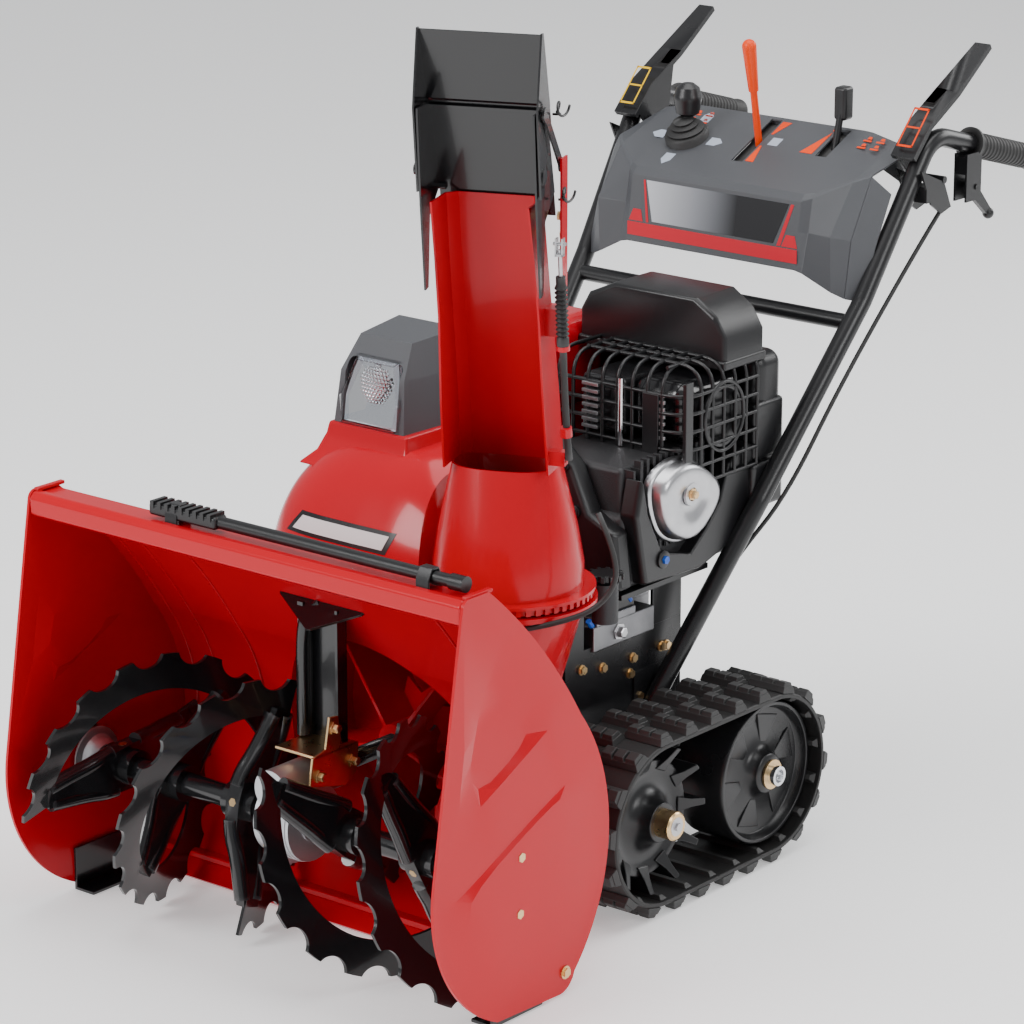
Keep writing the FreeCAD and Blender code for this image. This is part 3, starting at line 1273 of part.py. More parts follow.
def build_cables():
    radius = size("cable_radius")
    strands = []
    for sign in (1, -1):
        route = [(258, 478, 812), (258, 430, 775), (246, 262, 605), (236, 160, 475), (196, 104, 395),
                 (172, 72, 330), (146, 42, 290)]
        strands.append(tube([(sign * x, y, z) for x, y, z in route], radius))
    node(feature("ControlCables", Part.makeCompound(strands)), "control_cables")
    cord = [(292, -315, 572), (326, -315, 516), (316, -320, 470), (280, -345, 438), (222.5, -386, 424)]
    node(feature("ChuteCord", tube(cord, 3.5)), "chute_cord")


build_housing()
build_side_plates()
build_scraper_and_skids()
build_housing_bolts()
build_bearings()
build_auger()
build_gearbox()
build_strut()
build_drum()
build_impeller()
build_belt_cover()
build_headlight()
build_main_frame()
build_transmission()
build_tracks()
build_sprockets_and_idlers()
build_engine_block()
build_muffler()
build_muffler_guard()
build_engine_covers()
build_recoil()
build_belt_drive()
build_chute()
build_deflectors()
build_chute_hose()
build_chute_motor()
build_handlebars()
build_clutch_levers()
build_steering_levers()
build_console()
build_console_levers()
build_joystick()
build_snow_tool()
build_cables()
node(feature("FlangeBolts", Part.makeCompound(FLANGE_BOLTS)), "flange_bolts")


# ---------------------------------------------------------------- checks and export
doc.recompute()
def cut_seats():
    """Take each seated piece out of the one that it is set into, so that no two fixed pieces overlap."""
    seats = (("transmission", ("main_frame",)), ("handlebars", ("main_frame",)),
             ("main_frame", ("flange_bolts", "impeller_drum")), ("control_cables", ("main_frame",)),
             ("side_plates", ("flange_bolts",)), ("auger_housing", ("flange_bolts",)),
             ("gearbox_strut", ("auger_housing",)), ("auger_flights", ("shear_bolts",)),
             ("belt_cover", ("engine_block", "main_frame", "auger_belt")),
             ("muffler", ("engine_block",)), ("handle_grips", ("handlebars",)),
             ("muffler_guard", ("cylinder_head_cover", "engine_block", "muffler")),
             ("headlight_housing", ("headlight_lens",)), ("chute_hose", ("chute",)))
    pieces = {obj.Label: obj for obj in NODES}
    for label, others in seats:
        pocketed = pieces[label].Shape.cut([pieces[name].Shape for name in others])
        kept = [body for body in pocketed.Solids if body.Volume > 60]
        seat = feature(f"Seated_{label}", Part.makeCompound(kept))
        pieces[label].Label = f"{label}_blank"
        NODES[NODES.index(pieces[label])] = seat
        seat.Label = label
        pieces[label] = seat


cut_seats()
doc.recompute()
for obj in doc.Objects:
    if "Invalid" in obj.State or "Error" in obj.State:
        raise RuntimeError(f"{obj.Label} failed: {obj.State}")
for obj in NODES:
    if obj.Shape.isNull() or not obj.Shape.isValid() or not obj.Shape.Solids:
        raise RuntimeError(f"{obj.Label} has no valid solid")
for obj in NODES:
    obj.Shape.exportStep(f"parts/{obj.Label}.step")
    print(f"{obj.Label}: {len(obj.Shape.Solids)} solid(s), {obj.Shape.Volume / 1000:.1f} cm3")
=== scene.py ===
"""Looks of the tracked two stage snowblower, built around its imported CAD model. Units are metres."""
import bpy
import bmesh
import math

from mathutils import Matrix, Vector
from mathutils.bvhtree import BVHTree
from mathutils.geometry import delaunay_2d_cdt


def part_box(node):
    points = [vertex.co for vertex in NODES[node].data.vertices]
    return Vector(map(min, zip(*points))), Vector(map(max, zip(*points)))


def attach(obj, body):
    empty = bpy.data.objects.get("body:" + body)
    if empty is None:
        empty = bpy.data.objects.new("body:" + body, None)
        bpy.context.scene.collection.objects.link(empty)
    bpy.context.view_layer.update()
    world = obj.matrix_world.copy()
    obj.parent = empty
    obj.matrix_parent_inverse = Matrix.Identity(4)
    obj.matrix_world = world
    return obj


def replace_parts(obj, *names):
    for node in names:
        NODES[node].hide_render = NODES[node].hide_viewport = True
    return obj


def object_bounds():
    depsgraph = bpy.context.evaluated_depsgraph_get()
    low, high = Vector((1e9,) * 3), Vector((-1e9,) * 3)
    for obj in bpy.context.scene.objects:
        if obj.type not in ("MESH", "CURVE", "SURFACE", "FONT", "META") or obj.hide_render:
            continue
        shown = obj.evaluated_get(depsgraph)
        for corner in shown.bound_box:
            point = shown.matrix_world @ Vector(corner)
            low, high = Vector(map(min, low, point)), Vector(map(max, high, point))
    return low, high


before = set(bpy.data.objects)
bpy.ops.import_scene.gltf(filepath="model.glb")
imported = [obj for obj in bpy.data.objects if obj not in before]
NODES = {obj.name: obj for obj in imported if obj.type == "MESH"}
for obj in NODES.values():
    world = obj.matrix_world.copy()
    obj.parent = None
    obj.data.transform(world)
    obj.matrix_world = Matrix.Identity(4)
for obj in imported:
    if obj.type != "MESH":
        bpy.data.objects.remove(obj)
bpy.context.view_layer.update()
MM = 0.001


# ---------------------------------------------------------------- camera, light and floor
VIEW_AZIMUTH = 39.35
VIEW_ELEVATION = 16.81
VIEW_DISTANCE = 5.467
VIEW_LENS = 147.2
VIEW_TARGET = Vector((0.0, -0.1252, 0.473))


def build_camera():
    """Camera in front of the machine, a little to its left and above it."""
    azimuth, elevation = math.radians(VIEW_AZIMUTH), math.radians(VIEW_ELEVATION)
    back = Vector((math.sin(azimuth) * math.cos(elevation), -math.cos(azimuth) * math.cos(elevation),
                   math.sin(elevation)))
    data = bpy.data.cameras.new("camera")
    data.lens = VIEW_LENS
    data.clip_end = 60
    camera = bpy.data.objects.new("camera", data)
    camera.location = VIEW_TARGET + back * VIEW_DISTANCE
    camera.rotation_euler = (-back).to_track_quat("-Z", "Y").to_euler()
    bpy.context.scene.collection.objects.link(camera)
    bpy.context.scene.camera = camera


def area_light(name, at, target, size, power, colour=(1, 1, 1)):
    """One soft rectangular light that points at a target."""
    data = bpy.data.lights.new(name, "AREA")
    data.shape = "RECTANGLE"
    data.size, data.size_y = size
    data.energy = power
    data.color = colour
    lamp = bpy.data.objects.new(name, data)
    lamp.location = at
    lamp.rotation_euler = (Vector(target) - Vector(at)).to_track_quat("-Z", "Y").to_euler()
    bpy.context.scene.collection.objects.link(lamp)


def build_lights():
    """Large soft lamps above and around the machine, and a pale world."""
    area_light("key", (-1.6, -4.4, 3.2), (0, -0.2, 0.5), (2.4, 2.4), 190)
    area_light("fill", (4.6, -0.4, 3.0), (0, 0, 0.5), (2.0, 2.0), 70)
    area_light("top", (0.3, 0.2, 4.2), (0, 0, 0.5), (3.5, 3.5), 130)
    area_light("rim", (1.5, 4.0, 2.6), (0, 0, 0.6), (3.0, 2.0), 90)
    world = bpy.data.worlds.new("studio")
    world.use_nodes = True
    background = world.node_tree.nodes["Background"]
    background.inputs["Color"].default_value = (0.92, 0.93, 0.95, 1)
    background.inputs["Strength"].default_value = 0.55
    bpy.context.scene.world = world


def build_floor():
    """Plain pale floor."""
    mesh = bpy.data.meshes.new("floor")
    half = 14.0
    mesh.from_pydata([(-half, -half, 0), (half, -half, 0), (half, half, 0), (-half, half, 0)], [],
                     [(0, 1, 2, 3)])
    floor = bpy.data.objects.new("floor", mesh)
    floor.location.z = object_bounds()[0][2] - 0.0005
    bpy.context.scene.collection.objects.link(floor)
    material = bpy.data.materials.new("floor")
    material.use_nodes = True
    shader = material.node_tree.nodes["Principled BSDF"]
    shader.inputs["Base Color"].default_value = (0.86, 0.86, 0.86, 1)
    shader.inputs["Roughness"].default_value = 0.75
    shader.inputs["Emission Color"].default_value = (1, 1, 1, 1)
    shader.inputs["Emission Strength"].default_value = 0.40
    mesh.materials.append(material)


# ---------------------------------------------------------------- materials
def surface(name, colour, second=None, roughness=0.4, metallic=0.0, coat=0.0, grain=0.0, grain_scale=300.0,
            mottle_scale=6.0, worn=None, spread=0.06, shine=0.5):
    """Procedural finish: mottled colour, uneven gloss, a fine grain bump and edges worn to another tint."""
    material = bpy.data.materials.new(name)
    material.use_nodes = True
    tree = material.node_tree
    nodes, links = tree.nodes, tree.links
    shader = nodes["Principled BSDF"]
    shader.inputs["Metallic"].default_value = metallic
    shader.inputs["Coat Weight"].default_value = coat
    shader.inputs["Specular IOR Level"].default_value = shine
    shader.inputs["Coat Roughness"].default_value = 0.04
    place = nodes.new("ShaderNodeTexCoord")
    mottle = nodes.new("ShaderNodeTexNoise")
    mottle.inputs["Scale"].default_value = mottle_scale
    mottle.inputs["Detail"].default_value = 4
    links.new(place.outputs["Object"], mottle.inputs["Vector"])
    mix = nodes.new("ShaderNodeMix")
    mix.data_type = "RGBA"
    second = second or tuple(c * 0.82 for c in colour)
    mix.inputs["A"].default_value = (*colour, 1)
    mix.inputs["B"].default_value = (*second, 1)
    links.new(mottle.outputs["Fac"], mix.inputs["Factor"])
    result = mix.outputs["Result"]
    if worn:
        geometry = nodes.new("ShaderNodeNewGeometry")
        ramp = nodes.new("ShaderNodeValToRGB")
        ramp.color_ramp.elements[0].position = 0.54
        ramp.color_ramp.elements[1].position = 0.60
        links.new(geometry.outputs["Pointiness"], ramp.inputs["Fac"])
        edge = nodes.new("ShaderNodeMix")
        edge.data_type = "RGBA"
        edge.inputs["B"].default_value = (*worn, 1)
        links.new(ramp.outputs["Color"], edge.inputs["Factor"])
        links.new(result, edge.inputs["A"])
        result = edge.outputs["Result"]
    links.new(result, shader.inputs["Base Color"])
    gloss = nodes.new("ShaderNodeMapRange")
    gloss.inputs["To Min"].default_value = max(roughness - spread, 0.02)
    gloss.inputs["To Max"].default_value = roughness + spread
    links.new(mottle.outputs["Fac"], gloss.inputs["Value"])
    links.new(gloss.outputs["Result"], shader.inputs["Roughness"])
    if grain:
        fine = nodes.new("ShaderNodeTexNoise")
        fine.inputs["Scale"].default_value = grain_scale
        fine.inputs["Detail"].default_value = 2
        links.new(place.outputs["Object"], fine.inputs["Vector"])
        bump = nodes.new("ShaderNodeBump")
        bump.inputs["Strength"].default_value = grain
        bump.inputs["Distance"].default_value = 0.0006
        links.new(fine.outputs["Fac"], bump.inputs["Height"])
        links.new(bump.outputs["Normal"], shader.inputs["Normal"])
    return material


def clear_lens():
    material = surface("lens_clear", (0.95, 0.97, 1.0), roughness=0.05, spread=0.02)
    shader = material.node_tree.nodes["Principled BSDF"]
    shader.inputs["Transmission Weight"].default_value = 1.0
    shader.inputs["IOR"].default_value = 1.45
    return material


def fade_panel():
    """Dark panel that fades to pale grey towards one end."""
    material = surface("front_fade", (0.02, 0.02, 0.022), roughness=0.25)
    nodes, links = material.node_tree.nodes, material.node_tree.links
    place = nodes.new("ShaderNodeTexCoord")
    split = nodes.new("ShaderNodeSeparateXYZ")
    ramp = nodes.new("ShaderNodeValToRGB")
    spread = nodes.new("ShaderNodeMapRange")
    spread.inputs["From Min"].default_value = -0.12
    spread.inputs["From Max"].default_value = 0.10
    links.new(place.outputs["Object"], split.inputs[0])
    links.new(split.outputs["X"], spread.inputs["Value"])
    links.new(spread.outputs["Result"], ramp.inputs["Fac"])
    colours = ((0.0, (0.55, 0.57, 0.60)), (0.45, (0.20, 0.21, 0.23)), (0.72, (0.012, 0.012, 0.014)))
    while len(ramp.color_ramp.elements) < len(colours):
        ramp.color_ramp.elements.new(0.5)
    for element, (position, colour) in zip(ramp.color_ramp.elements, colours):
        element.position = position
        element.color = (*colour, 1)
    links.new(ramp.outputs["Color"], nodes["Principled BSDF"].inputs["Base Color"])
    return material


MATERIALS = {
    "red_paint": surface("red_paint", (0.52, 0.0, 0.010), (0.47, 0.0, 0.008), 0.22, coat=0.12, grain=0.05,
                         grain_scale=900, spread=0.03, shine=0.22),
    "black_paint": surface("black_paint", (0.005, 0.005, 0.006), (0.008, 0.008, 0.009), 0.18, coat=0.3,
                           grain=0.08, grain_scale=700, worn=(0.03, 0.03, 0.032)),
    "satin_black": surface("satin_black", (0.006, 0.006, 0.007), (0.010, 0.010, 0.011), 0.28, grain=0.12,
                           grain_scale=900),
    "yellow_zinc": surface("yellow_zinc", (0.80, 0.56, 0.24), (0.68, 0.47, 0.30), 0.30, metallic=1.0,
                           mottle_scale=90, spread=0.1),
    "steel": surface("steel", (0.60, 0.60, 0.61), (0.48, 0.48, 0.50), 0.30, metallic=1.0, mottle_scale=60),
    "cast_aluminium": surface("cast_aluminium", (0.66, 0.67, 0.69), (0.52, 0.53, 0.55), 0.42, metallic=0.9,
                              grain=0.5, grain_scale=500, mottle_scale=25),
    "cast_iron": surface("cast_iron", (0.028, 0.028, 0.030), (0.040, 0.040, 0.042), 0.5, metallic=0.4,
                         grain=0.6, grain_scale=420, mottle_scale=30),
    "rubber": surface("rubber", (0.009, 0.009, 0.009), (0.016, 0.015, 0.015), 0.55, grain=0.35,
                      grain_scale=600, mottle_scale=14, worn=(0.05, 0.05, 0.05)),
    "console_plastic": surface("console_plastic", (0.055, 0.058, 0.065), (0.068, 0.071, 0.078), 0.42,
                               grain=0.6, grain_scale=1400),
    "black_plastic": surface("black_plastic", (0.006, 0.006, 0.007), (0.010, 0.010, 0.011), 0.30, grain=0.3,
                             grain_scale=1100),
    "orange_plastic": surface("orange_plastic", (0.90, 0.060, 0.0), (0.82, 0.050, 0.0), 0.30, shine=0.25),
    "red_plastic": surface("red_plastic", (0.53, 0.0, 0.012), (0.48, 0.0, 0.010), 0.18, coat=0.25,
                           grain=0.06, grain_scale=600, shine=0.25),
    "dull_zinc": surface("dull_zinc", (0.30, 0.30, 0.31), (0.20, 0.20, 0.21), 0.40, metallic=1.0,
                         mottle_scale=40, grain=0.3, grain_scale=500),
    "blue_mark": surface("blue_mark", (0.01, 0.10, 0.55), roughness=0.35),
    "chrome": surface("chrome", (0.82, 0.83, 0.85), (0.74, 0.75, 0.77), 0.12, metallic=1.0, spread=0.03),
    "lens": clear_lens(),
    "front_fade": fade_panel(),
    "mark_grey": surface("mark_grey", (0.42, 0.47, 0.56), roughness=0.4),
    "mark_orange": surface("mark_orange", (0.90, 0.060, 0.0), roughness=0.4, shine=0.2),
    "mark_red": surface("mark_red", (0.62, 0.0, 0.018), roughness=0.3),
    "mark_yellow": surface("mark_yellow", (0.85, 0.52, 0.0), roughness=0.4),
    "mark_white": surface("mark_white", (0.80, 0.80, 0.80), roughness=0.35),
}

NODE_FINISH = {
    "red_paint": ("auger_housing", "side_plates", "impeller_drum", "chute", "impeller", "scraper_bar"),
    "black_paint": ("skid_shoes", "auger_flights", "auger_shaft", "gearbox_strut", "lower_deflector",
                    "upper_deflector", "deflector_link", "impeller_shaft", "muffler", "fuel_cap",
                    "sprocket_left", "sprocket_right", "idler_left", "idler_right"),
    "satin_black": ("main_frame", "handlebars", "muffler_guard", "clutch_lever_left",
                    "clutch_lever_right"),
    "yellow_zinc": ("flange_bolts", "shear_bolts", "gearbox_bracket"),
    "cast_aluminium": ("auger_gearbox", "shaft_bearings"),
    "steel": ("crank_pulley", "cylinder_head_cover"),
    "dull_zinc": ("transmission",),
    "cast_iron": ("engine_block", "chute_motor"),
    "rubber": ("tracks", "handle_grips", "auger_belt", "control_cables", "chute_cord", "chute_hose"),
    "console_plastic": ("console", "headlight_housing"),
    "black_plastic": ("air_cleaner_cover", "engine_shroud", "recoil_housing", "recoil_handle", "choke_knob",
                      "snow_tool", "throttle_lever", "joystick", "joystick_gimbal", "steering_lever_left",
                      "steering_lever_right", "chute_pinion", "engine_switch"),
    "orange_plastic": ("shift_lever",),
    "red_plastic": ("belt_cover", "fuel_tank"),
    "lens": ("headlight_lens",),
}
BEVELS = {"auger_housing": 0.8, "tracks": 2.0, "console": 2.0, "auger_flights": 1.0}


def smooth_by_angle(piece, degrees=35):
    """Smooth shading that keeps the edges sharper than an angle."""
    mesh = piece.data
    work = bmesh.new()
    work.from_mesh(mesh)
    limit = math.radians(degrees)
    for face in work.faces:
        face.smooth = True
    for edge in work.edges:
        edge.smooth = len(edge.link_faces) == 2 and edge.calc_face_angle(0) < limit
    work.to_mesh(mesh)
    work.free()


def smoothing_group(degrees):
    """Node group that welds a mesh's seams and shades it smooth up to an edge angle."""
    group = bpy.data.node_groups.new("smooth_seams", "GeometryNodeTree")
    group.interface.new_socket("Geometry", in_out="INPUT", socket_type="NodeSocketGeometry")
    group.interface.new_socket("Geometry", in_out="OUTPUT", socket_type="NodeSocketGeometry")
    nodes, links = group.nodes, group.links
    weld = nodes.new("GeometryNodeMergeByDistance")
    weld.inputs["Distance"].default_value = 0.02 * MM
    forget = nodes.new("GeometryNodeRemoveAttribute")
    forget.inputs["Name"].default_value = "custom_normal"
    angle = nodes.new("GeometryNodeInputMeshEdgeAngle")
    flat_enough = nodes.new("FunctionNodeCompare")
    flat_enough.operation = "LESS_THAN"
    flat_enough.inputs["B"].default_value = math.radians(degrees)
    edges = nodes.new("GeometryNodeSetShadeSmooth")
    edges.domain = "EDGE"
    faces = nodes.new("GeometryNodeSetShadeSmooth")
    start, end = nodes.new("NodeGroupInput"), nodes.new("NodeGroupOutput")
    links.new(start.outputs[0], weld.inputs["Geometry"])
    links.new(weld.outputs[0], forget.inputs["Geometry"])
    links.new(forget.outputs[0], edges.inputs["Geometry"])
    links.new(angle.outputs["Unsigned Angle"], flat_enough.inputs["A"])
    links.new(flat_enough.outputs[0], edges.inputs["Shade Smooth"])
    links.new(edges.outputs[0], faces.inputs["Geometry"])
    links.new(faces.outputs[0], end.inputs[0])
    return group


def finish_cad_nodes():
    """Gives each CAD node the material of its real part."""
    smoothing = smoothing_group(26)
    for finish, names in NODE_FINISH.items():
        for name in names:
            node = NODES[name]
            node.data.materials.clear()
            node.data.materials.append(MATERIALS[finish])
            node.modifiers.new("smooth_seams", "NODES").node_group = smoothing
            bevel = node.modifiers.new("soft_edges", "BEVEL")
            bevel.width = BEVELS.get(name, 0.8) * MM
            bevel.segments = 2
            bevel.limit_method = "ANGLE"
            bevel.angle_limit = math.radians(35)
            bevel.harden_normals = True


# ---------------------------------------------------------------- mesh building
def show(name, mesh, body, material, smooth=35):
    """Put a mesh into the scene as a piece that rides on a CAD body."""
    piece = bpy.data.objects.new(name, mesh)
    bpy.context.scene.collection.objects.link(piece)
    mesh.materials.append(MATERIALS[material])
    if smooth:
        smooth_by_angle(piece, smooth)
    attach(piece, body)
    return piece


def solid(name, points, faces, body, material, smooth=35, bevel=0.0, segments=2):
    mesh = bpy.data.meshes.new(name)
    mesh.from_pydata([tuple(p) for p in points], [], faces)
    work = bmesh.new()
    work.from_mesh(mesh)
    bmesh.ops.recalc_face_normals(work, faces=work.faces)
    work.to_mesh(mesh)
    work.free()
    piece = show(name, mesh, body, material, smooth)
    if bevel:
        add_bevel(piece, bevel, segments)
    return piece


def add_bevel(piece, width, segments=2, degrees=40):
    """Rounds a piece's sharp edges."""
    bevel = piece.modifiers.new("soft_edges", "BEVEL")
    bevel.width = width
    bevel.segments = segments
    bevel.limit_method = "ANGLE"
    bevel.angle_limit = math.radians(degrees)
    bevel.harden_normals = True
    return bevel


USUAL_SLOT = {"satin_black": "black_paint", "dull_zinc": "steel", "chrome": "cast_aluminium",
              "blue_mark": "black_plastic"}


def joined(name, parts, material, body="chassis", slot=None, smooth=35, bevel=0.0):
    """One piece from several (points, faces) parts. Its slot argument is not used."""
    slot = slot or USUAL_SLOT.get(material, material)
    points, faces = [], []
    for part_points, part_faces in parts:
        start = len(points)
        points += [tuple(p) for p in part_points]
        faces += [tuple(i + start for i in face) for face in part_faces]
    return solid(name, points, faces, body, material, smooth, bevel)


def prism(loop, direction):
    """Part for joined: a flat loop of points swept along a vector."""
    count = len(loop)
    points = [Vector(p) for p in loop] + [Vector(p) + Vector(direction) for p in loop]
    faces = [tuple(range(count))[::-1], tuple(range(count, 2 * count))]
    faces += [(i, (i + 1) % count, (i + 1) % count + count, i + count) for i in range(count)]
    return points, faces


def brick(x0, x1, y0, y1, z0, z1):
    """A box from its six limits."""
    return prism([(x0, y0, z0), (x1, y0, z0), (x1, y1, z0), (x0, y1, z0)], (0, 0, z1 - z0))


def rod(start, end, radius, sides=16, tip=None):
    """Part for joined: a round bar, or a cone where tip gives the far radius."""
    start, end = Vector(start), Vector(end)
    tip = radius if tip is None else tip
    along = (end - start).normalized()
    side = along.orthogonal().normalized()
    other = along.cross(side)
    rings = []
    for centre, r in ((start, radius), (end, tip)):
        for i in range(sides):
            angle = 2 * math.pi * i / sides
            rings.append(centre + side * (r * math.cos(angle)) + other * (r * math.sin(angle)))
    faces = [tuple(range(sides))[::-1], tuple(range(sides, 2 * sides))]
    faces += [(i, (i + 1) % sides, (i + 1) % sides + sides, i + sides) for i in range(sides)]
    return rings, faces


def lathe(profile, centre, axis, sides=32):
    """Part for joined: (along, radius) points turned about an axis. Ends are closed by their own radii."""
    centre, axis = Vector(centre), Vector(axis).normalized()
    side = axis.orthogonal().normalized()
    other = axis.cross(side)
    points = []
    for along, radius in profile:
        for i in range(sides):
            angle = 2 * math.pi * i / sides
            points.append(centre + axis * along
                          + (side * math.cos(angle) + other * math.sin(angle)) * max(radius, 1e-5))
    faces = []
    for ring in range(len(profile) - 1):
        for i in range(sides):
            a, b = ring * sides + i, ring * sides + (i + 1) % sides
            faces.append((a, b, b + sides, a + sides))
    faces.append(tuple(range(sides))[::-1])
    faces.append(tuple(range((len(profile) - 1) * sides, len(profile) * sides)))
    return points, faces


def loft(loops):
    """Part for joined: a solid through closed loops of equal count, capped at both ends."""
    count = len(loops[0])
    points = [Vector(p) for loop in loops for p in loop]
    faces = [tuple(range(count))[::-1], tuple(range(len(points) - count, len(points)))]
    for ring in range(len(loops) - 1):
        for i in range(count):
            a, b = ring * count + i, ring * count + (i + 1) % count
            faces.append((a, b, b + count, a + count))
    return points, faces


def shrunk(loop, share):
    """A flat loop drawn in towards its own middle."""
    middle = [sum(p[k] for p in loop) / len(loop) for k in (0, 1)]
    return [tuple(m + (c - m) * share for m, c in zip(middle, p)) for p in loop]


def layered(loop, levels, place):
    """Part for joined: a flat loop in mm, scaled at each (level, share) and placed by a function."""
    return loft([[place(level, u * MM, v * MM) for u, v in shrunk(loop, share)] for level, share in levels])


def beside(x, y, z):
    """Places a layered loop of (y, z) at a distance x to the side."""
    return (x, y, z)


def wire(name, points, radius, body, material, smooth=True, closed=False, resolution=4):
    """Round wire or hose through points, as a curve. Smooth wires are NURBS of order 3."""
    data = bpy.data.curves.new(name, "CURVE")
    data.dimensions = "3D"
    data.bevel_depth = 1.0
    data.bevel_resolution = resolution
    data.use_fill_caps = True
    spline = data.splines.new("NURBS" if smooth else "POLY")
    spline.points.add(len(points) - 1)
    for target, point in zip(spline.points, points):
        target.co = (*point, 1)
        target.radius = radius
    if smooth:
        spline.order_u = 3
        spline.use_endpoint_u = not closed
        spline.resolution_u = 6
    spline.use_cyclic_u = closed
    data.materials.append(MATERIALS[material])
    piece = bpy.data.objects.new(name, data)
    bpy.context.scene.collection.objects.link(piece)
    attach(piece, body)
    return piece


def arc_points(start, middle, end, count):
    """Points on the circle through three (u, v) points, from start to end, without the start."""
    (ax, ay), (bx, by), (cx, cy) = start, middle, end
    d = 2 * (ax * (by - cy) + bx * (cy - ay) + cx * (ay - by))
    ux = ((ax**2 + ay**2) * (by - cy) + (bx**2 + by**2) * (cy - ay) + (cx**2 + cy**2) * (ay - by)) / d
    uy = ((ax**2 + ay**2) * (cx - bx) + (bx**2 + by**2) * (ax - cx) + (cx**2 + cy**2) * (bx - ax)) / d
    radius = math.hypot(ax - ux, ay - uy)
    a0 = math.atan2(ay - uy, ax - ux)
    sweep = (math.atan2(cy - uy, cx - ux) - a0) % (2 * math.pi)
    via = (math.atan2(by - uy, bx - ux) - a0) % (2 * math.pi)
    if via > sweep:
        sweep -= 2 * math.pi
    return [(ux + radius * math.cos(a0 + sweep * i / count), uy + radius * math.sin(a0 + sweep * i / count))
            for i in range(1, count + 1)]


def cut_corners(points, rounds=2):
    """Closed loop with its corners cut, and cut again, so that they read as rounded."""
    for _ in range(rounds):
        result = []
        for i, point in enumerate(points):
            after = points[(i + 1) % len(points)]
            result.append(tuple(a * 0.75 + b * 0.25 for a, b in zip(point, after)))
            result.append(tuple(a * 0.25 + b * 0.75 for a, b in zip(point, after)))
        points = result
    return points


# ---------------------------------------------------------------- auger housing
PLATE_X = 0.358
PLATE_THICKNESS = 0.004
UPPER_PANEL = ([(-625, 502), (-600, 508), (-548, 458), (-508, 414), (-476, 368), (-486, 358),
                (-650, 278), (-664, 290)],
               [(-607, 440), (-588, 442), (-553, 400), (-512, 353), (-644, 294)], -0.0062)
LOWER_PANEL = ([(-452, 282), (-428, 278), (-408, 205), (-412, 140), (-440, 86), (-486, 48), (-540, 32),
                (-592, 38), (-634, 66), (-664, 106), (-682, 152), (-680, 184), (-656, 190)],
               [(-482, 264), (-464, 258), (-454, 200), (-450, 150), (-462, 142), (-590, 80), (-612, 92),
                (-640, 134), (-656, 184)], 0.0040)


def plate_outline():
    """Outline of a side plate as (y, z) in metres, with its arcs sampled."""
    steps = (((-640, 556), 0), ((-651, 546), (-647, 553)), ((-705, 214), 0), ((-589, 8), (-676, 80)),
             ((-471, 4), 0), ((-441, 26), (-455, 8)), ((-430, 358), (-374, 185)),
             ((-604, 556), (-511, 467)))
    points = [steps[0][0]]
    for end, middle in steps[1:]:
        points += arc_points(points[-1], middle, end, 24) if middle else [end]
    return [(y * MM, z * MM) for y, z in points]


def build_side_plate(side, sign):
    """Pressed side plate: a recessed upper panel and a raised lower one, each with sloping walls."""
    loops = [(plate_outline(), 0.0)]
    for outer, inner, depth in (UPPER_PANEL, LOWER_PANEL):
        loops.append((cut_corners([(y * MM, z * MM) for y, z in outer]), 0.0))
        loops.append((cut_corners([(y * MM, z * MM) for y, z in inner]), depth))
    flat, edges, depths = [], [], []
    for loop, depth in loops:
        start = len(flat)
        flat += [Vector(p) for p in loop]
        depths += [depth] * len(loop)
        edges += [(start + i, start + (i + 1) % len(loop)) for i in range(len(loop))]
    verts, _, faces, origins, _, _ = delaunay_2d_cdt(flat, edges, [], 1, 1e-7)
    level = [depths[o[0]] if o else 0.0 for o in origins]
    outer_x = [PLATE_X + d for d in level]
    points = [(sign * x, p[0], p[1]) for x, p in zip(outer_x, verts)]
    points += [(sign * (x - PLATE_THICKNESS), p[0], p[1]) for x, p in zip(outer_x, verts)]
    count = len(verts)
    walls = list(faces) + [tuple(i + count for i in face[::-1]) for face in faces]
    rim = len(loops[0][0])
    position = {o[0]: i for i, o in enumerate(origins) if o and o[0] < rim}
    ring = [position[i] for i in range(rim)]
    for i in range(rim):
        a, b = ring[i], ring[(i + 1) % rim]
        walls.append((a, b, b + count, a + count))
    piece = solid("side_plate_" + side, points, walls, "chassis", "red_paint", 30)
    add_bevel(piece, 1.2 * MM, 3, 14)
    return piece


def barrel_line(inset):
    """(y, z) points on the barrel's inner face, from the front lip to the scraper, in metres."""
    points = [(-606, 549)]
    points += arc_points((-606, 549), (-515, 463), (-434, 356), 14)
    points += arc_points((-434, 356), (-380, 185), (-445, 28), 14)
    result = []
    for y, z in points:
        towards = Vector((-560 - y, 250 - z)).normalized() * inset
        result.append(((y + towards.x) * MM, (z + towards.y) * MM))
    return result


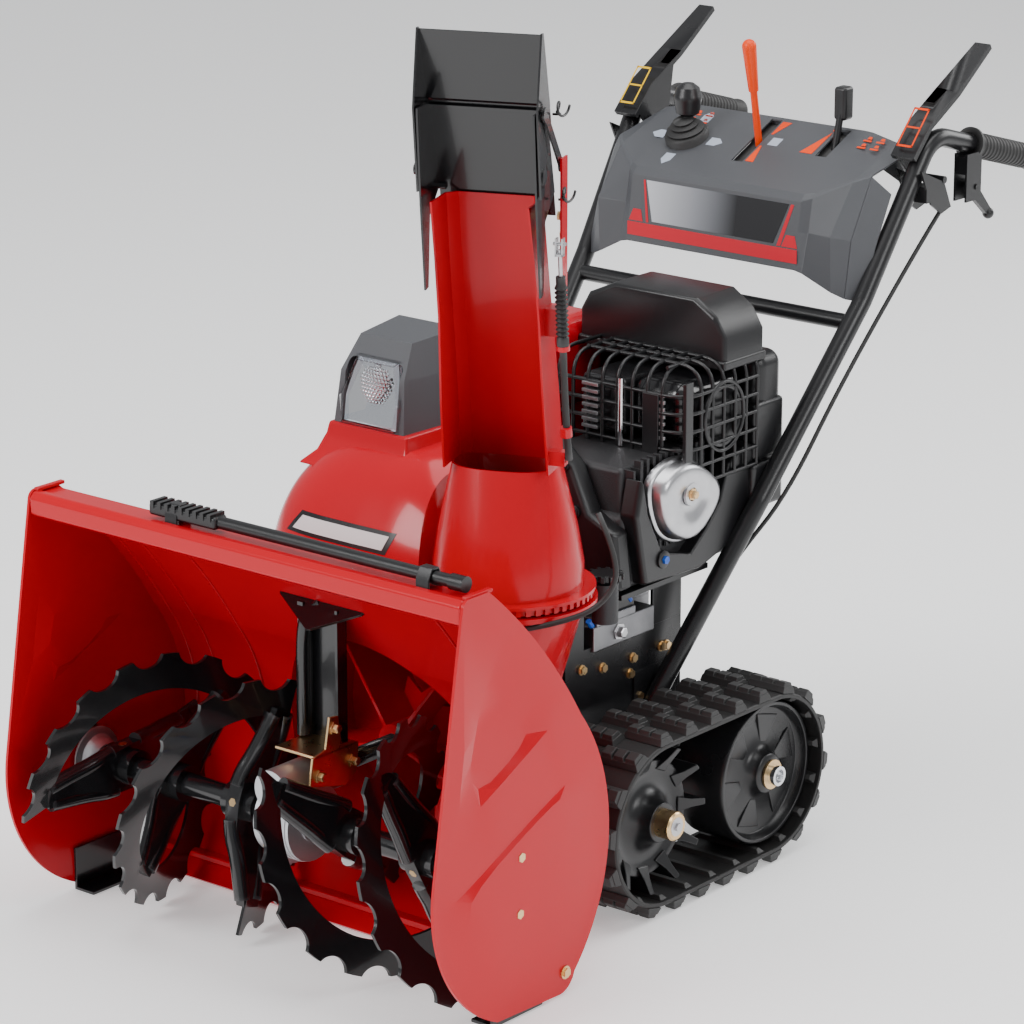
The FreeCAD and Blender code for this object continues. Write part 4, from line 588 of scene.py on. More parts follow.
def build_housing_trim():
    """Rolled front lip, its end flanges, and the pressed ribs of the barrel."""
    low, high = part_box("auger_housing")
    profile = [(low.y + 0.0005, 0.522), (low.y - 0.0055, 0.526), (low.y - 0.0065, 0.547), (low.y, 0.5545),
               (low.y + 0.012, 0.5545), (low.y + 0.012, 0.522)]
    length = high.x - low.x
    parts = [prism([(low.x, y, z) for y, z in profile], (length, 0, 0))]
    joined("housing_lip", parts, "red_paint", bevel=3 * MM)
    parts = []
    for sign in (1, -1):
        parts.append(brick(sign * 0.352 - 0.004, sign * 0.352 + 0.004, low.y + 0.004, low.y + 0.052,
                           0.5535, 0.5585))
    joined("lip_corners", parts, "red_paint", bevel=1.5 * MM)
    hem = brick(-0.350, 0.350, -0.457, -0.438, 0.0235, 0.0325)
    joined("barrel_hem", [hem], "red_paint", bevel=2 * MM)
    low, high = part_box("auger_flights")
    reach = (high.z - low.z) / 2 + 0.005
    axis = (low + high) / 2
    line = [(y, z) for y, z in barrel_line(0.0) if z > axis.z and math.hypot(y - axis.y, z - axis.z) > reach]
    for i, x in enumerate((0.330, 0.287, 0.205)):
        for side, sign in (("left", 1), ("right", -1)):
            name = f"barrel_rib_{side}_{i}"
            wire(name, [(sign * x, y, z) for y, z in line], 0.0026, "chassis", "red_paint")


def build_tool_clips():
    """Spring clips that hold the clean-out tool on the housing."""
    low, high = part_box("snow_tool")
    y = (low.y + high.y) / 2
    z = low.z + 0.008
    for i, x in enumerate((-0.123, 0.283)):
        reach = 0.0135
        points = [(x, y - reach, z - 0.014), (x, y - reach, z), (x, y - 0.006, z + reach),
                  (x, y + 0.006, z + reach), (x, y + reach, z), (x, y + reach, z - 0.014)]
        loop = [(p[1], p[2]) for p in points]
        inner = [((py - y) * 0.78 + y, (pz - z) * 0.78 + z) for py, pz in loop[1:-1]]
        inner = [(loop[0][0] + 0.003, loop[0][1])] + inner + [(loop[-1][0] - 0.003, loop[-1][1])]
        outline = loop + inner[::-1]
        parts = [prism([(x - 0.010, py, pz) for py, pz in outline], (0.020, 0, 0))]
        joined(f"tool_clip_{i}", parts, "black_plastic", bevel=1 * MM)


# ---------------------------------------------------------------- engine
def rounded_corner_path(corners, radius, steps=6):
    """Open path through 3-D corners, with each inner corner rounded."""
    corners = [Vector(c) for c in corners]
    points = [corners[0]]
    for before, here, after in zip(corners, corners[1:], corners[2:]):
        start = here + (before - here).normalized() * radius
        end = here + (after - here).normalized() * radius
        for i in range(steps + 1):
            t = i / steps
            points.append(start * (1 - t) ** 2 + here * 2 * t * (1 - t) + end * t**2)
    points.append(corners[-1])
    return points


def build_muffler_guard():
    """Moulded grille around the muffler: hoops over the front, the top and the outer side."""
    low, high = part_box("muffler_guard")
    x0, x1, y0, y1, z0, z1 = low.x, high.x, low.y, high.y, 0.518, 0.672
    rod_radius, bend = 0.0027, 0.034
    hole_y, hole_z, hole_r = 0.062, 0.599, 0.042
    pieces = []
    for i in range(8):
        x = x0 + (x1 - 0.036 - x0) * i / 7
        pieces.append(rounded_corner_path([(x, y0, z0 - 0.020), (x, y0, z1), (x, y1, z1)], bend))
    for i in range(6):
        y = y0 + 0.036 + (y1 - y0 - 0.036) * i / 5
        pieces.append(rounded_corner_path([(x0 + 0.02, y, z1), (x1, y, z1), (x1, y, z0)], bend))
    for i in range(6):
        z = z0 + (z1 - 0.034 - z0) * i / 5
        pieces.append(rounded_corner_path([(x0, y0, z), (x1, y0, z), (x1, y1, z)], bend))
    pieces.append(rounded_corner_path([(x1 - 0.036, y0 + 0.010, z1), (x1 - 0.036, y1, z1)], 0.01))
    data = bpy.data.curves.new("muffler_guard", "CURVE")
    data.dimensions = "3D"
    data.bevel_depth = 1.0
    data.bevel_resolution = 3
    data.use_fill_caps = True
    hoops = [[(x1 + lift, hole_y + r * math.cos(a), hole_z + 1.1 * r * math.sin(a))
              for a in [2 * math.pi * i / 36 for i in range(36)]]
             for lift, r in ((0.0015, hole_r), (-0.004, hole_r - 0.007))]
    for points, closed in [(p, False) for p in pieces] + [(hoop, True) for hoop in hoops]:
        spline = data.splines.new("POLY")
        spline.points.add(len(points) - 1)
        for target, point in zip(spline.points, points):
            target.co = (*point, 1)
            target.radius = rod_radius
        spline.use_cyclic_u = closed
    data.materials.append(MATERIALS["black_plastic"])
    guard = bpy.data.objects.new("muffler_guard_grille", data)
    bpy.context.scene.collection.objects.link(guard)
    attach(guard, "chassis")
    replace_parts(guard, "muffler_guard")
    cup = lathe([(-0.010, 0.0), (-0.010, 0.034), (0.000, 0.041), (0.003, 0.041), (0.003, 0.037),
                 (-0.007, 0.030), (-0.007, 0.0)], (x1 - 0.002, hole_y, hole_z), (1, 0, 0))
    joined("exhaust_port", [cup], "black_plastic")
    bar = [brick(x1 - 0.004, x1 + 0.002, y0 + 0.001, y0 + 0.017, z0 - 0.016, z1 - 0.014),
           brick(x1 - 0.066, x1 - 0.040, y0 - 0.004, y0 + 0.002, z0 - 0.050, z1 - 0.034)]
    joined("guard_bars", bar, "black_plastic", bevel=1.2 * MM)


def build_heat_shield():
    """Pressed muffler shell with rows of louvres and a bright rolled edge."""
    low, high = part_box("muffler")
    parts = []
    for row in range(7):
        z = 0.578 + row * 0.0095
        parts.append(brick(low.x - 0.052, low.x - 0.026, low.y - 0.0135, low.y - 0.008, z, z + 0.0045))
        parts.append(brick(high.x - 0.040, high.x - 0.018, low.y - 0.0015, low.y + 0.002, z, z + 0.0045))
    joined("muffler_louvres", parts, "steel", bevel=0.5 * MM)
    shell = [brick(0.020, 0.092, -0.006, 0.110, 0.566, 0.642),
             brick(0.028, 0.086, -0.012, 0.000, 0.572, 0.634)]
    joined("muffler_box", shell, "black_paint", bevel=9 * MM)
    edge = [rod((high.x - 0.088, low.y - 0.002, 0.560), (high.x - 0.088, low.y - 0.002, 0.650), 0.004, 12)]
    joined("muffler_edge", edge, "chrome", slot="steel", smooth=50)


HEAD_LOOP = ((-86, 545), (-84, 500), (-60, 455), (-2, 438), (50, 478), (60, 505), (42, 532), (-20, 566))


def build_head_cover():
    """Pressed silver cover of the cylinder head: stepped flange, crown, dished centre and one bolt."""
    loop = cut_corners(HEAD_LOOP, 3)
    levels = ((0.183, 1.0), (0.191, 1.0), (0.193, 0.985), (0.194, 0.93), (0.205, 0.89), (0.2105, 0.84),
              (0.2125, 0.76), (0.2120, 0.42), (0.2090, 0.34), (0.2085, 0.12))
    cover = layered(loop, levels, beside)
    piece = joined("head_cover", [cover], "steel", slot="cast_aluminium", smooth=50)
    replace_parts(piece, "cylinder_head_cover")
    seat = lathe([(0, 0.016), (0.003, 0.015), (0.003, 0.009), (0.001, 0.008), (0.001, 0.0)],
                 (0.2095, -0.016, 0.512), (1, 0, 0))
    joined("head_cover_seat", [seat], "steel")
    bolt = lathe([(0, 0.0085), (0.002, 0.0085), (0.002, 0.0058), (0.008, 0.0056), (0.009, 0.004)],
                 (0.211, -0.016, 0.512), (1, 0, 0), sides=6)
    joined("head_cover_bolt", [bolt], "yellow_zinc", bevel=0.3 * MM)





LOWER_COVER = ((-96, 404), (25, 399), (126, 428), (150, 452), (206, 462), (204, 545), (150, 548), (112, 545),
               (82, 530), (64, 480), (34, 450), (0, 424), (-62, 440), (-94, 500), (-104, 548), (-116, 500))


def build_engine_panels():
    """Black covers in front of and beside the engine, with their steps and bolts."""
    low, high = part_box("engine_shroud")
    parts = [brick(low.x + 0.004, high.x + 0.004, low.y - 0.010, high.y - 0.004, 0.520, 0.600),
             brick(low.x + 0.008, high.x + 0.007, low.y - 0.016, high.y - 0.008, 0.455, 0.518)]
    joined("shroud_steps", parts, "black_plastic", bevel=7 * MM)
    side = layered(LOWER_COVER, ((0.170, 1.0), (0.192, 1.0), (0.198, 0.975)), beside)
    cover = joined("engine_lower_cover", [side], "black_plastic", bevel=3 * MM)
    cover.modifiers["soft_edges"].angle_limit = math.radians(15)
    loop = ((-56, 596), (70, 596), (112, 560), (140, 500), (182, 480), (190, 404), (128, 398), (40, 398),
            (-56, 410))
    front = layered(loop, ((-0.112, 1.0), (-0.134, 1.0), (-0.142, 0.94)), lambda y, x, z: (x, y, z))
    joined("engine_front_cover", [front], "black_plastic", bevel=5 * MM)
    heads = []
    for x, z in ((0.100, 0.560), (0.118, 0.500), (0.124, 0.444), (0.030, 0.540)):
        heads.append(lathe([(0, 0.009), (0.003, 0.009), (0.003, 0.006), (0.008, 0.0055), (0.008, 0.0)],
                           (x, -0.1425, z), (0, -1, 0), sides=12))
    heads.append(lathe([(0, 0.012), (0.004, 0.012), (0.005, 0.009), (0.005, 0.0)], (0.197, -0.060, 0.432),
                       (1, 0, 0), sides=16))
    joined("engine_cover_bolts", heads, "satin_black", bevel=0.6 * MM)
    mark = lathe([(0, 0.006), (0.0035, 0.0055), (0.0035, 0.0)], (0.202, -0.060, 0.432), (1, 0, 0), sides=6)
    joined("engine_cover_mark", [mark], "blue_mark")
    fins = [brick(0.170, 0.181, -0.086 + 0.013 * i, -0.080 + 0.013 * i, 0.440, 0.566) for i in range(11)]
    joined("cylinder_fins", fins, "cast_iron", bevel=0.5 * MM)
    cap = lathe([(0, 0.018), (0.004, 0.020), (0.018, 0.019), (0.020, 0.015), (0.020, 0.0)],
                (0.060, -0.140, 0.430), (0.2, -0.8, 0.5))
    joined("oil_filler_cap", [cap], "black_plastic", bevel=0.6 * MM)


def build_air_cleaner():
    """Wide cover of the air cleaner with sloping sides, on a wider base band."""
    low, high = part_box("air_cleaner_cover")
    loop = [(low.x * 1000 - 6, low.z * 1000), (low.x * 1000 - 6, 704), (low.x * 1000 + 8, 728),
            (low.x * 1000 + 50, 747), (high.x * 1000 - 40, 747), (high.x * 1000 - 8, 726),
            (high.x * 1000 + 8, 700), (high.x * 1000 + 8, low.z * 1000)]
    levels = ((low.y - 0.004, 0.94), (low.y, 1.0), (high.y, 1.0), (high.y + 0.004, 0.94))
    shape = layered(loop, levels, lambda y, x, z: (x, y, z))
    piece = joined("air_cleaner", [shape], "black_plastic", bevel=6 * MM)
    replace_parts(piece, "air_cleaner_cover")
    base = brick(low.x - 0.008, high.x + 0.010, low.y - 0.006, high.y + 0.006, low.z - 0.004, low.z + 0.010)
    joined("air_cleaner_base", [base], "black_plastic", bevel=4 * MM)


def build_recoil_details():
    """Cooling slots and centre disc of the starter housing, seen from behind."""
    low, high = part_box("recoil_housing")
    centre = ((low.x + high.x) / 2, high.y, (low.z + high.z) / 2)
    slots = []
    for i in range(16):
        angle = 2 * math.pi * i / 16
        inner, outer = 0.040, 0.068
        u = Vector((math.cos(angle), 0, math.sin(angle)))
        v = Vector((-math.sin(angle), 0, math.cos(angle))) * 0.0035
        base = Vector(centre)
        loop = [base + u * inner - v, base + u * outer - v, base + u * outer + v, base + u * inner + v]
        slots.append(prism(loop, (0, 0.0018, 0)))
    disc = lathe([(0, 0.030), (0.003, 0.030), (0.005, 0.026), (0.005, 0.0)], centre, (0, 1, 0))
    joined("recoil_ribs", slots + [disc], "satin_black", slot="black_plastic", bevel=0.6 * MM)


# ---------------------------------------------------------------- headlight
LAMP_FACE = ((-155, 640), (-151, 604), (-54, 604), (-49, 640), (-66, 694), (-138, 694))


def lamp_face_y(z):
    """Depth of the lamp housing's raked face at a height, in metres."""
    bend = 0.672
    if z < bend:
        return -0.292 + (z - 0.585) * 0.115
    return -0.282 + (z - bend) * 0.636


def build_headlight():
    """Faceted clear lens over a bright bowl, with a domed honeycomb reflector close behind it."""
    levels = ((-0.003, 1.0), (0.0015, 1.0), (0.006, 0.88), (0.0045, 0.86), (-0.001, 0.96))
    shape = layered(LAMP_FACE, levels, lambda lift, x, z: (x, lamp_face_y(z) - lift, z))
    lens = joined("headlight_window", [shape], "lens", smooth=20)
    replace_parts(lens, "headlight_lens")
    x, z, radius, cell = -0.1025, 0.651, 0.033, 0.0052
    parts = []
    for row in range(-8, 9):
        for column in range(-8, 9):
            u, v = (column + 0.5 * (row % 2)) * cell, row * cell * 0.87
            share = (u * u + v * v) / radius**2
            if share < 0.95:
                at = (x + u, -0.281 + 0.007 * share + 0.10 * v, z + v)
                parts.append(lathe([(0, cell * 0.56), (0.001, cell * 0.50), (0.003, 0.0)], at, (0, -1, 0), 6))
    joined("headlight_reflector", parts, "chrome", smooth=0)
    bowl = layered(LAMP_FACE, ((-0.002, 0.92), (-0.016, 0.70), (-0.018, 0.70), (-0.004, 0.95)),
                   lambda lift, a, b: (a, lamp_face_y(b) - lift, b))
    joined("headlight_bowl", [bowl], "chrome", smooth=20)
    shell_low, shell_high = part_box("headlight_housing")
    levels = ((0.604, 0.0), (0.588, 0.003), (0.566, 0.012), (0.548, 0.030))
    loops = []
    for height, grow in levels:
        x0, x1 = shell_low.x - grow, shell_high.x + grow * 0.6
        y0, y1 = shell_low.y - 0.001 - grow, shell_high.y - 0.004
        loops.append([(x0, y0, height), (x1, y0, height), (x1, y1, height), (x0, y1, height)])
    joined("headlight_collar", [loft(loops)], "red_plastic", bevel=4 * MM)


# ---------------------------------------------------------------- console
TOP_FRONT, TOP_REAR = (0.314, 0.838), (0.461, 0.905)
CONSOLE_SHAPE = ((0.000, ((297, 740), (304.9, 792), (311, 832), (320, 841), (461, 905), (472, 862))),
                 (0.142, ((297, 740), (304.9, 792), (311, 832), (320, 841), (461, 905), (472, 862))),
                 (0.154, ((298, 737), (312, 790), (320, 836), (327, 843), (461, 904), (472, 858))),
                 (0.196, ((306, 716), (302, 792), (352, 858), (358, 861), (458, 896), (466, 842))),
                 (0.214, ((314, 708), (326, 785), (372, 866), (376, 868), (452, 882), (460, 832))))
WING_SHAPE = ((0.214, ((314, 708), (326, 785), (372, 866))), (0.236, ((330, 704), (352, 772), (388, 842))))


def on_top(x, y, lift=0.0):
    """Point on the console's sloping top."""
    slope = (TOP_REAR[1] - 0.841) / (TOP_REAR[0] - 0.320)
    return (x, y, 0.841 + slope * (y - 0.320) + lift)


def on_face(x, z, lift=0.0):
    """Point on the console's front face."""
    lean = (0.311 - 0.297) / (0.832 - 0.740)
    return (x, 0.297 + lean * (z - 0.740) - lift, z)


def carve(piece, cutters):
    """Cut the shapes of (points, faces) parts out of a piece for good."""
    tools = []
    for points, faces in cutters:
        mesh = bpy.data.meshes.new("cutter")
        mesh.from_pydata([tuple(p) for p in points], [], faces)
        work = bmesh.new()
        work.from_mesh(mesh)
        bmesh.ops.recalc_face_normals(work, faces=work.faces)
        work.to_mesh(mesh)
        work.free()
        tool = bpy.data.objects.new("cutter", mesh)
        bpy.context.scene.collection.objects.link(tool)
        cut = piece.modifiers.new("cut", "BOOLEAN")
        cut.object = tool
        cut.solver = "EXACT"
        tools.append(tool)
    graph = bpy.context.evaluated_depsgraph_get()
    mesh = bpy.data.meshes.new_from_object(piece.evaluated_get(graph))
    piece.modifiers.clear()
    piece.data = mesh
    for tool in tools:
        bpy.data.objects.remove(tool)


def sheet_grid(stations):
    """Points and faces of a surface through (x, ((y, z), ...)) stations in mm for y and z."""
    rows = len(stations[0][1])
    points = [(x, y * MM, z * MM) for x, section in stations for y, z in section]
    faces = []
    for column in range(len(stations) - 1):
        for row in range(rows - 1):
            a = column * rows + row
            faces.append((a, a + rows, a + rows + 1, a + 1))
    return points, faces


def thick_shell(name, stations, thickness):
    """Surface through stations, given a wall thickness on its inner side."""
    points, faces = sheet_grid(stations)
    mesh = bpy.data.meshes.new(name)
    mesh.from_pydata(points, [], faces)
    piece = bpy.data.objects.new(name, mesh)
    bpy.context.scene.collection.objects.link(piece)
    wall = piece.modifiers.new("wall", "SOLIDIFY")
    wall.thickness = thickness
    wall.offset = -1
    wall.use_even_offset = True
    carve(piece, [])
    return piece


def dress(piece, body, material, bevel, degrees=12):
    """Finish, body and edge rounding of a ready mesh piece."""
    piece.data.materials.clear()
    piece.data.materials.append(MATERIALS[material])
    smooth_by_angle(piece, 30)
    add_bevel(piece, bevel, 3, degrees)
    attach(piece, body)
    return piece


def build_console():
    """Faceted shell with real slots, its two wings, and the guards under the slots."""
    stations = [(-x, s) for x, s in CONSOLE_SHAPE[:0:-1]] + list(CONSOLE_SHAPE)
    shell = thick_shell("console_shell", stations, 0.0035)
    shift, throttle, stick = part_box("shift_lever"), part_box("throttle_lever"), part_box("joystick")
    shift_x = (shift[0].x + shift[1].x) / 2
    throttle_x = (throttle[0].x + throttle[1].x) / 2
    stick_x, stick_y = (stick[0].x + stick[1].x) / 2, (stick[0].y + stick[1].y) / 2
    cutters = [brick(shift_x - 0.009, shift_x + 0.009, 0.362, 0.456, 0.780, 1.0),
               brick(throttle_x - 0.009, throttle_x + 0.009, 0.397, 0.456, 0.780, 1.0),
               rod((stick_x, stick_y, 0.780), (stick_x, stick_y, 1.0), 0.026, 40)]
    carve(shell, cutters)
    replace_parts(dress(shell, "chassis", "console_plastic", 2.2 * MM), "console")
    for side, sign in (("left", 1), ("right", -1)):
        wing = thick_shell("console_wing_" + side, [(sign * x, s) for x, s in WING_SHAPE][::sign], 0.003)
        dress(wing, "chassis", "console_plastic", 1.5 * MM)
    guards = []
    for x, y0, y1 in ((shift_x, 0.354, 0.462), (throttle_x, 0.389, 0.462)):
        corners = [on_top(x - 0.016, y0, -0.010), on_top(x + 0.016, y0, -0.010),
                   on_top(x + 0.016, y1, -0.010), on_top(x - 0.016, y1, -0.010)]
        guards.append(prism(corners, (0, 0, -0.003)))
    joined("slot_guards", guards, "rubber", bevel=0.5 * MM)
    tray = [brick(-0.138, 0.168, 0.320, 0.466, 0.776, 0.779)]
    joined("console_tray", tray, "satin_black", slot="black_plastic", bevel=0.8 * MM)
    base = on_top(stick_x, stick_y)
    up = Vector((0, -0.4, 1)).normalized()
    inside = [(0.026, 0.0), (0.026, 0.006), (0.018, 0.014), (0.0125, 0.0225), (0.009, 0.0265),
              (-0.006, 0.0285)]
    folds = [(-0.006, 0.031), (0.008, 0.031), (0.011, 0.029), (0.012, 0.026), (0.015, 0.027), (0.018, 0.022),
             (0.019, 0.019), (0.022, 0.020), (0.024, 0.016), (0.025, 0.014), (0.028, 0.015), (0.031, 0.010),
             (0.032, 0.0)]
    joined("joystick_boot", [lathe(inside + folds, base, up, 40)], "rubber", smooth=50)


def decal(name, loops, material, body="chassis", slot="black_plastic"):
    """Flat printed shapes, each a loop of points a fraction of a millimetre proud of its surface."""
    parts = []
    for loop, direction in loops:
        parts.append(prism(loop, Vector(direction) * 0.00025))
    return joined(name, parts, material, body=body, slot=slot, smooth=0)


def build_console_marks():
    """Printed marks of the console: arrows, speed wedges, small signs and the front panel."""
    up = (0, -0.41, 0.91)
    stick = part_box("joystick")
    sx, sy = (stick[0].x + stick[1].x) / 2, (stick[0].y + stick[1].y) / 2
    arrows = []
    for dx, dy in ((1, 0), (-1, 0), (0, 1), (0, -1)):
        cx, cy = sx + dx * 0.047, sy + dy * 0.046
        outline = [(0.013, 0.0), (0.004, 0.008), (-0.010, 0.008), (-0.010, -0.008), (0.004, -0.008)]
        arrows.append(([on_top(cx + u * dx - v * dy, cy + u * dy + v * dx, 0.0001) for u, v in outline], up))
    shift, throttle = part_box("shift_lever"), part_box("throttle_lever")
    x = (shift[0].x + shift[1].x) / 2
    arrows.append(([on_top(x + u, v, 0.0001) for u, v in
                    ((0.022, 0.402), (0.038, 0.402), (0.038, 0.418), (0.022, 0.418))], up))
    decal("console_arrows", arrows, "mark_grey")
    wedges = [[(0.013, 0.424), (0.016, 0.424), (0.028, 0.452), (0.013, 0.452)],
              [(0.013, 0.398), (0.016, 0.398), (0.026, 0.364), (0.013, 0.364)]]
    loops = [([on_top(x + u, v, 0.0001) for u, v in wedge], up) for wedge in wedges]
    t = (throttle[0].x + throttle[1].x) / 2
    loops.append(([on_top(t + u, v, 0.0001) for u, v in
                   ((-0.036, 0.398), (-0.016, 0.398), (-0.0145, 0.446))], up))
    loops.append(([on_top(t + u, v, 0.0001) for u, v in
                   ((-0.017, 0.449), (-0.011, 0.449), (-0.011, 0.453), (-0.017, 0.453))], up))
    bar = ((0, 0), (0.013, 0), (0.013, 0.003), (0, 0.003))
    wedge = ((0.004, 0.005), (0.011, 0.005), (0.009, 0.010), (0.004, 0.010))
    for cx, cy in ((t + 0.040, 0.424), (-0.136, 0.424)):
        for i in range(2):
            for j in range(2):
                for shape in (bar, wedge):
                    corner = (cx + i * 0.021, cy + j * 0.015)
                    loops.append(([on_top(corner[0] + u, corner[1] + v, 0.0001) for u, v in shape], up))
    decal("console_orange_marks", loops, "mark_orange")
    out = (0, -1, 0.15)
    left, right, low, high = -0.131, 0.140, 0.749, 0.826
    panel_loop = [(left + 0.014, high), (right - 0.016, high), (right - 0.036, low + 0.022),
                  (left + 0.030, low + 0.022)]
    decal("front_panel", [([on_face(a, b, 0.0002) for a, b in panel_loop], out)], "front_fade")
    foot, brow = low + 0.020, low + 0.036
    red = [[(left - 0.010, low), (right + 0.006, low), (right + 0.004, low + 0.018),
            (left - 0.012, low + 0.018)],
           [(left + 0.020, foot), (left + 0.024, foot), (left + 0.012, high), (left + 0.009, high)],
           [(left - 0.010, foot), (left + 0.014, foot), (left + 0.009, brow), (left - 0.004, brow)],
           [(right - 0.030, foot), (right - 0.024, foot), (right - 0.008, high), (right - 0.013, high)],
           [(right - 0.022, foot), (right + 0.004, foot), (right - 0.002, brow), (right - 0.016, brow)]]
    decal("front_red_marks", [([on_face(a, b, 0.0002) for a, b in loop], out) for loop in red], "mark_red")


# ---------------------------------------------------------------- levers and grips
def build_lever_labels():
    """Bordered signs on the two clutch levers."""
    for side, colour in (("left", "mark_orange"), ("right", "mark_yellow")):
        low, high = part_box("clutch_lever_" + side)
        x = (low.x + high.x) / 2
        a, b = Vector((x, low.y + 0.004, low.z + 0.062)), Vector((x, low.y + 0.046, low.z + 0.108))
        along = (b - a).normalized()
        normal = Vector((0, -along.z, along.y))
        if normal.z < 0:
            normal = -normal
        loops = []
        for u0, u1, v0, v1 in ((0, 1, -1, -0.82), (0, 1, 0.82, 1), (0, 0.05, -1, 1), (0.95, 1, -1, 1),
                               (0.48, 0.52, -1, 1)):
            corners = ((u0, v0), (u1, v0), (u1, v1), (u0, v1))
            points = [a + (b - a) * u + Vector((v * 0.0125, 0, 0)) + normal * 0.0002 for u, v in corners]
            loops.append((points, normal))
        decal("lever_sign_" + side, loops, colour, "clutch_lever_" + side)


# ---------------------------------------------------------------- cables and hoses
CONTROL_CABLE = ((258, 478, 812), (258, 430, 775), (246, 262, 605), (236, 160, 475), (196, 104, 395),
                 (172, 72, 330), (146, 42, 290))
CHUTE_CORD = ((292, -315, 572), (326, -315, 516), (316, -320, 470), (280, -345, 438), (222.5, -386, 424))
CHUTE_CENTRE = Vector((150, -315, 0))
CHUTE_TURN = math.radians(22.5)


def run_length(points):
    """Length of a smooth curve, from its own evaluated line."""
    return sum((b - a).length for a, b in zip(points, points[1:]))


def evaluated_line(piece):
    """World points of a curve object's own line, without its thickness."""
    depth = piece.data.bevel_depth
    piece.data.bevel_depth = 0
    caps = piece.data.use_fill_caps
    graph = bpy.context.evaluated_depsgraph_get()
    graph.update()
    mesh = bpy.data.meshes.new_from_object(piece.evaluated_get(graph))
    points = [v.co.copy() for v in mesh.vertices]
    bpy.data.meshes.remove(mesh)
    piece.data.bevel_depth = depth
    piece.data.use_fill_caps = caps
    return points


def free_cord(name, route, radius, body, node):
    """A cord along a given route in millimetres. Its length is measured and not used."""
    points = [Vector(p) * MM for p in route]
    piece = wire(name, points, radius * MM, body, "rubber")
    length = run_length(evaluated_line(piece))
    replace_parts(piece, node)
    return piece


def turned_with_chute(route):
    """Points of the chute's own frame, in millimetres, at the chute's place and turn."""
    turn = Matrix.Rotation(CHUTE_TURN, 3, "Z")
    return [CHUTE_CENTRE + turn @ Vector(p) for p in route]


def in_chute(part):
    """A (points, faces) part built in the chute's own frame, in metres, moved to its real place."""
    points, faces = part
    turn = Matrix.Rotation(CHUTE_TURN, 3, "Z")
    return [CHUTE_CENTRE * MM + turn @ Vector(p) for p in points], faces


def build_cords():
    """Every free cord of the machine."""
    for side, sign in (("left", 1), ("right", -1)):
        route = [(sign * x, y, z) for x, y, z in CONTROL_CABLE]
        free_cord("control_cable_" + side, route, 3, "chassis", "control_cables")
    free_cord("chute_motor_cord", CHUTE_CORD, 3.5, "chassis", "chute_cord")


def build_chute_hose():
    """Ribbed bellows, steel rod and clevis at the side of the chute."""
    side = 0.092
    route = [(92.8, -50, 636), (92, -66, 690), (92, -77, 790)]
    points = [p * MM for p in turned_with_chute(route)]
    hose = wire("chute_hose_line", points, 4.5 * MM, "chute", "rubber")
    run_length(evaluated_line(hose))
    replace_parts(hose, "chute_hose")
    start, end = Vector((side, -0.0765, 0.786)), Vector((side, -0.088, 0.874))
    along = (end - start).normalized()
    length = (end - start).length
    profile = [(-0.004, 0.0), (-0.004, 0.0075), (0.010, 0.0075)]
    rings = 11
    for i in range(rings):
        at = 0.012 + (length - 0.024) * i / rings
        profile += [(at, 0.0055), (at + 0.0032, 0.0082)]
    profile += [(length - 0.010, 0.0060), (length, 0.0060), (length, 0.0)]
    joined("chute_bellows", [in_chute(lathe(profile, start, along, 28))], "rubber", body="chute", smooth=50)
    rod_start, rod_end = Vector((side, -0.087, 0.868)), Vector((side, -0.092, 0.908))
    steel = [rod(rod_start, rod_end, 0.0025, 12),
             brick(side - 0.005, side - 0.003, -0.097, -0.087, 0.900, 0.922),
             brick(side + 0.003, side + 0.005, -0.097, -0.087, 0.900, 0.922),
             brick(side - 0.005, side + 0.005, -0.097, -0.087, 0.900, 0.903),
             rod((side - 0.008, -0.092, 0.915), (side + 0.008, -0.092, 0.915), 0.0022, 12)]
    joined("chute_clevis", [in_chute(p) for p in steel], "steel", body="chute")
    collars = [lathe([(0, 0.0), (0, 0.0085), (0.006, 0.0085), (0.006, 0.0)], Vector((side, -0.0755, 0.780)) ,
                     along, 24),
               lathe([(0, 0.0), (0, 0.0075), (0.012, 0.0075), (0.012, 0.0)], Vector((side, -0.060, 0.668)),
                     Vector((0, -0.2, 1)), 24)]
    joined("hose_collars", [in_chute(p) for p in collars], "red_plastic", body="chute", smooth=50)
    stand = [brick(0.082, 0.088, -0.054, -0.046, 0.630, 0.641)]
    joined("hose_stand", [in_chute(p) for p in stand], "red_paint", body="chute", bevel=1 * MM)


# ---------------------------------------------------------------- chute
def build_chute_fittings():
    """Wire loops at the deflector's hinges, and bolts."""
    for i, (s, z) in enumerate(((-0.083, 1.070), (-0.057, 0.961))):
        loop = []
        for k in range(26):
            angle = 2 * math.pi * k / 25 * 1.2 - 0.9
            loop.append(Vector((0.087 + 0.0006 * k, s - 0.016 + 0.013 * math.cos(angle), z + 0.010
                                + 0.008 * math.sin(angle))))
        loop = [Vector((0.080, s, z)), Vector((0.092, s, z))] + loop
        turn = Matrix.Rotation(CHUTE_TURN, 3, "Z")
        points = [CHUTE_CENTRE * MM + turn @ p for p in loop]
        body = "upper_deflector" if i == 0 else "lower_deflector"
        wire(f"hinge_wire_{i}", points, 0.0016, body, "satin_black")
    heads = []
    for t in (0.081, -0.081):
        for s, z in ((-0.052, 0.940), (-0.040, 0.915)):
            heads.append(in_chute(lathe([(0, 0.006), (0.003, 0.006), (0.0045, 0.004), (0.0045, 0.0)],
                                        (t - math.copysign(0.003, t), s, z), (math.copysign(1, t), 0, 0), 6)))
    joined("chute_bolts", heads, "yellow_zinc", body="chute")


# ---------------------------------------------------------------- wheels
WHEEL_Z = 0.125


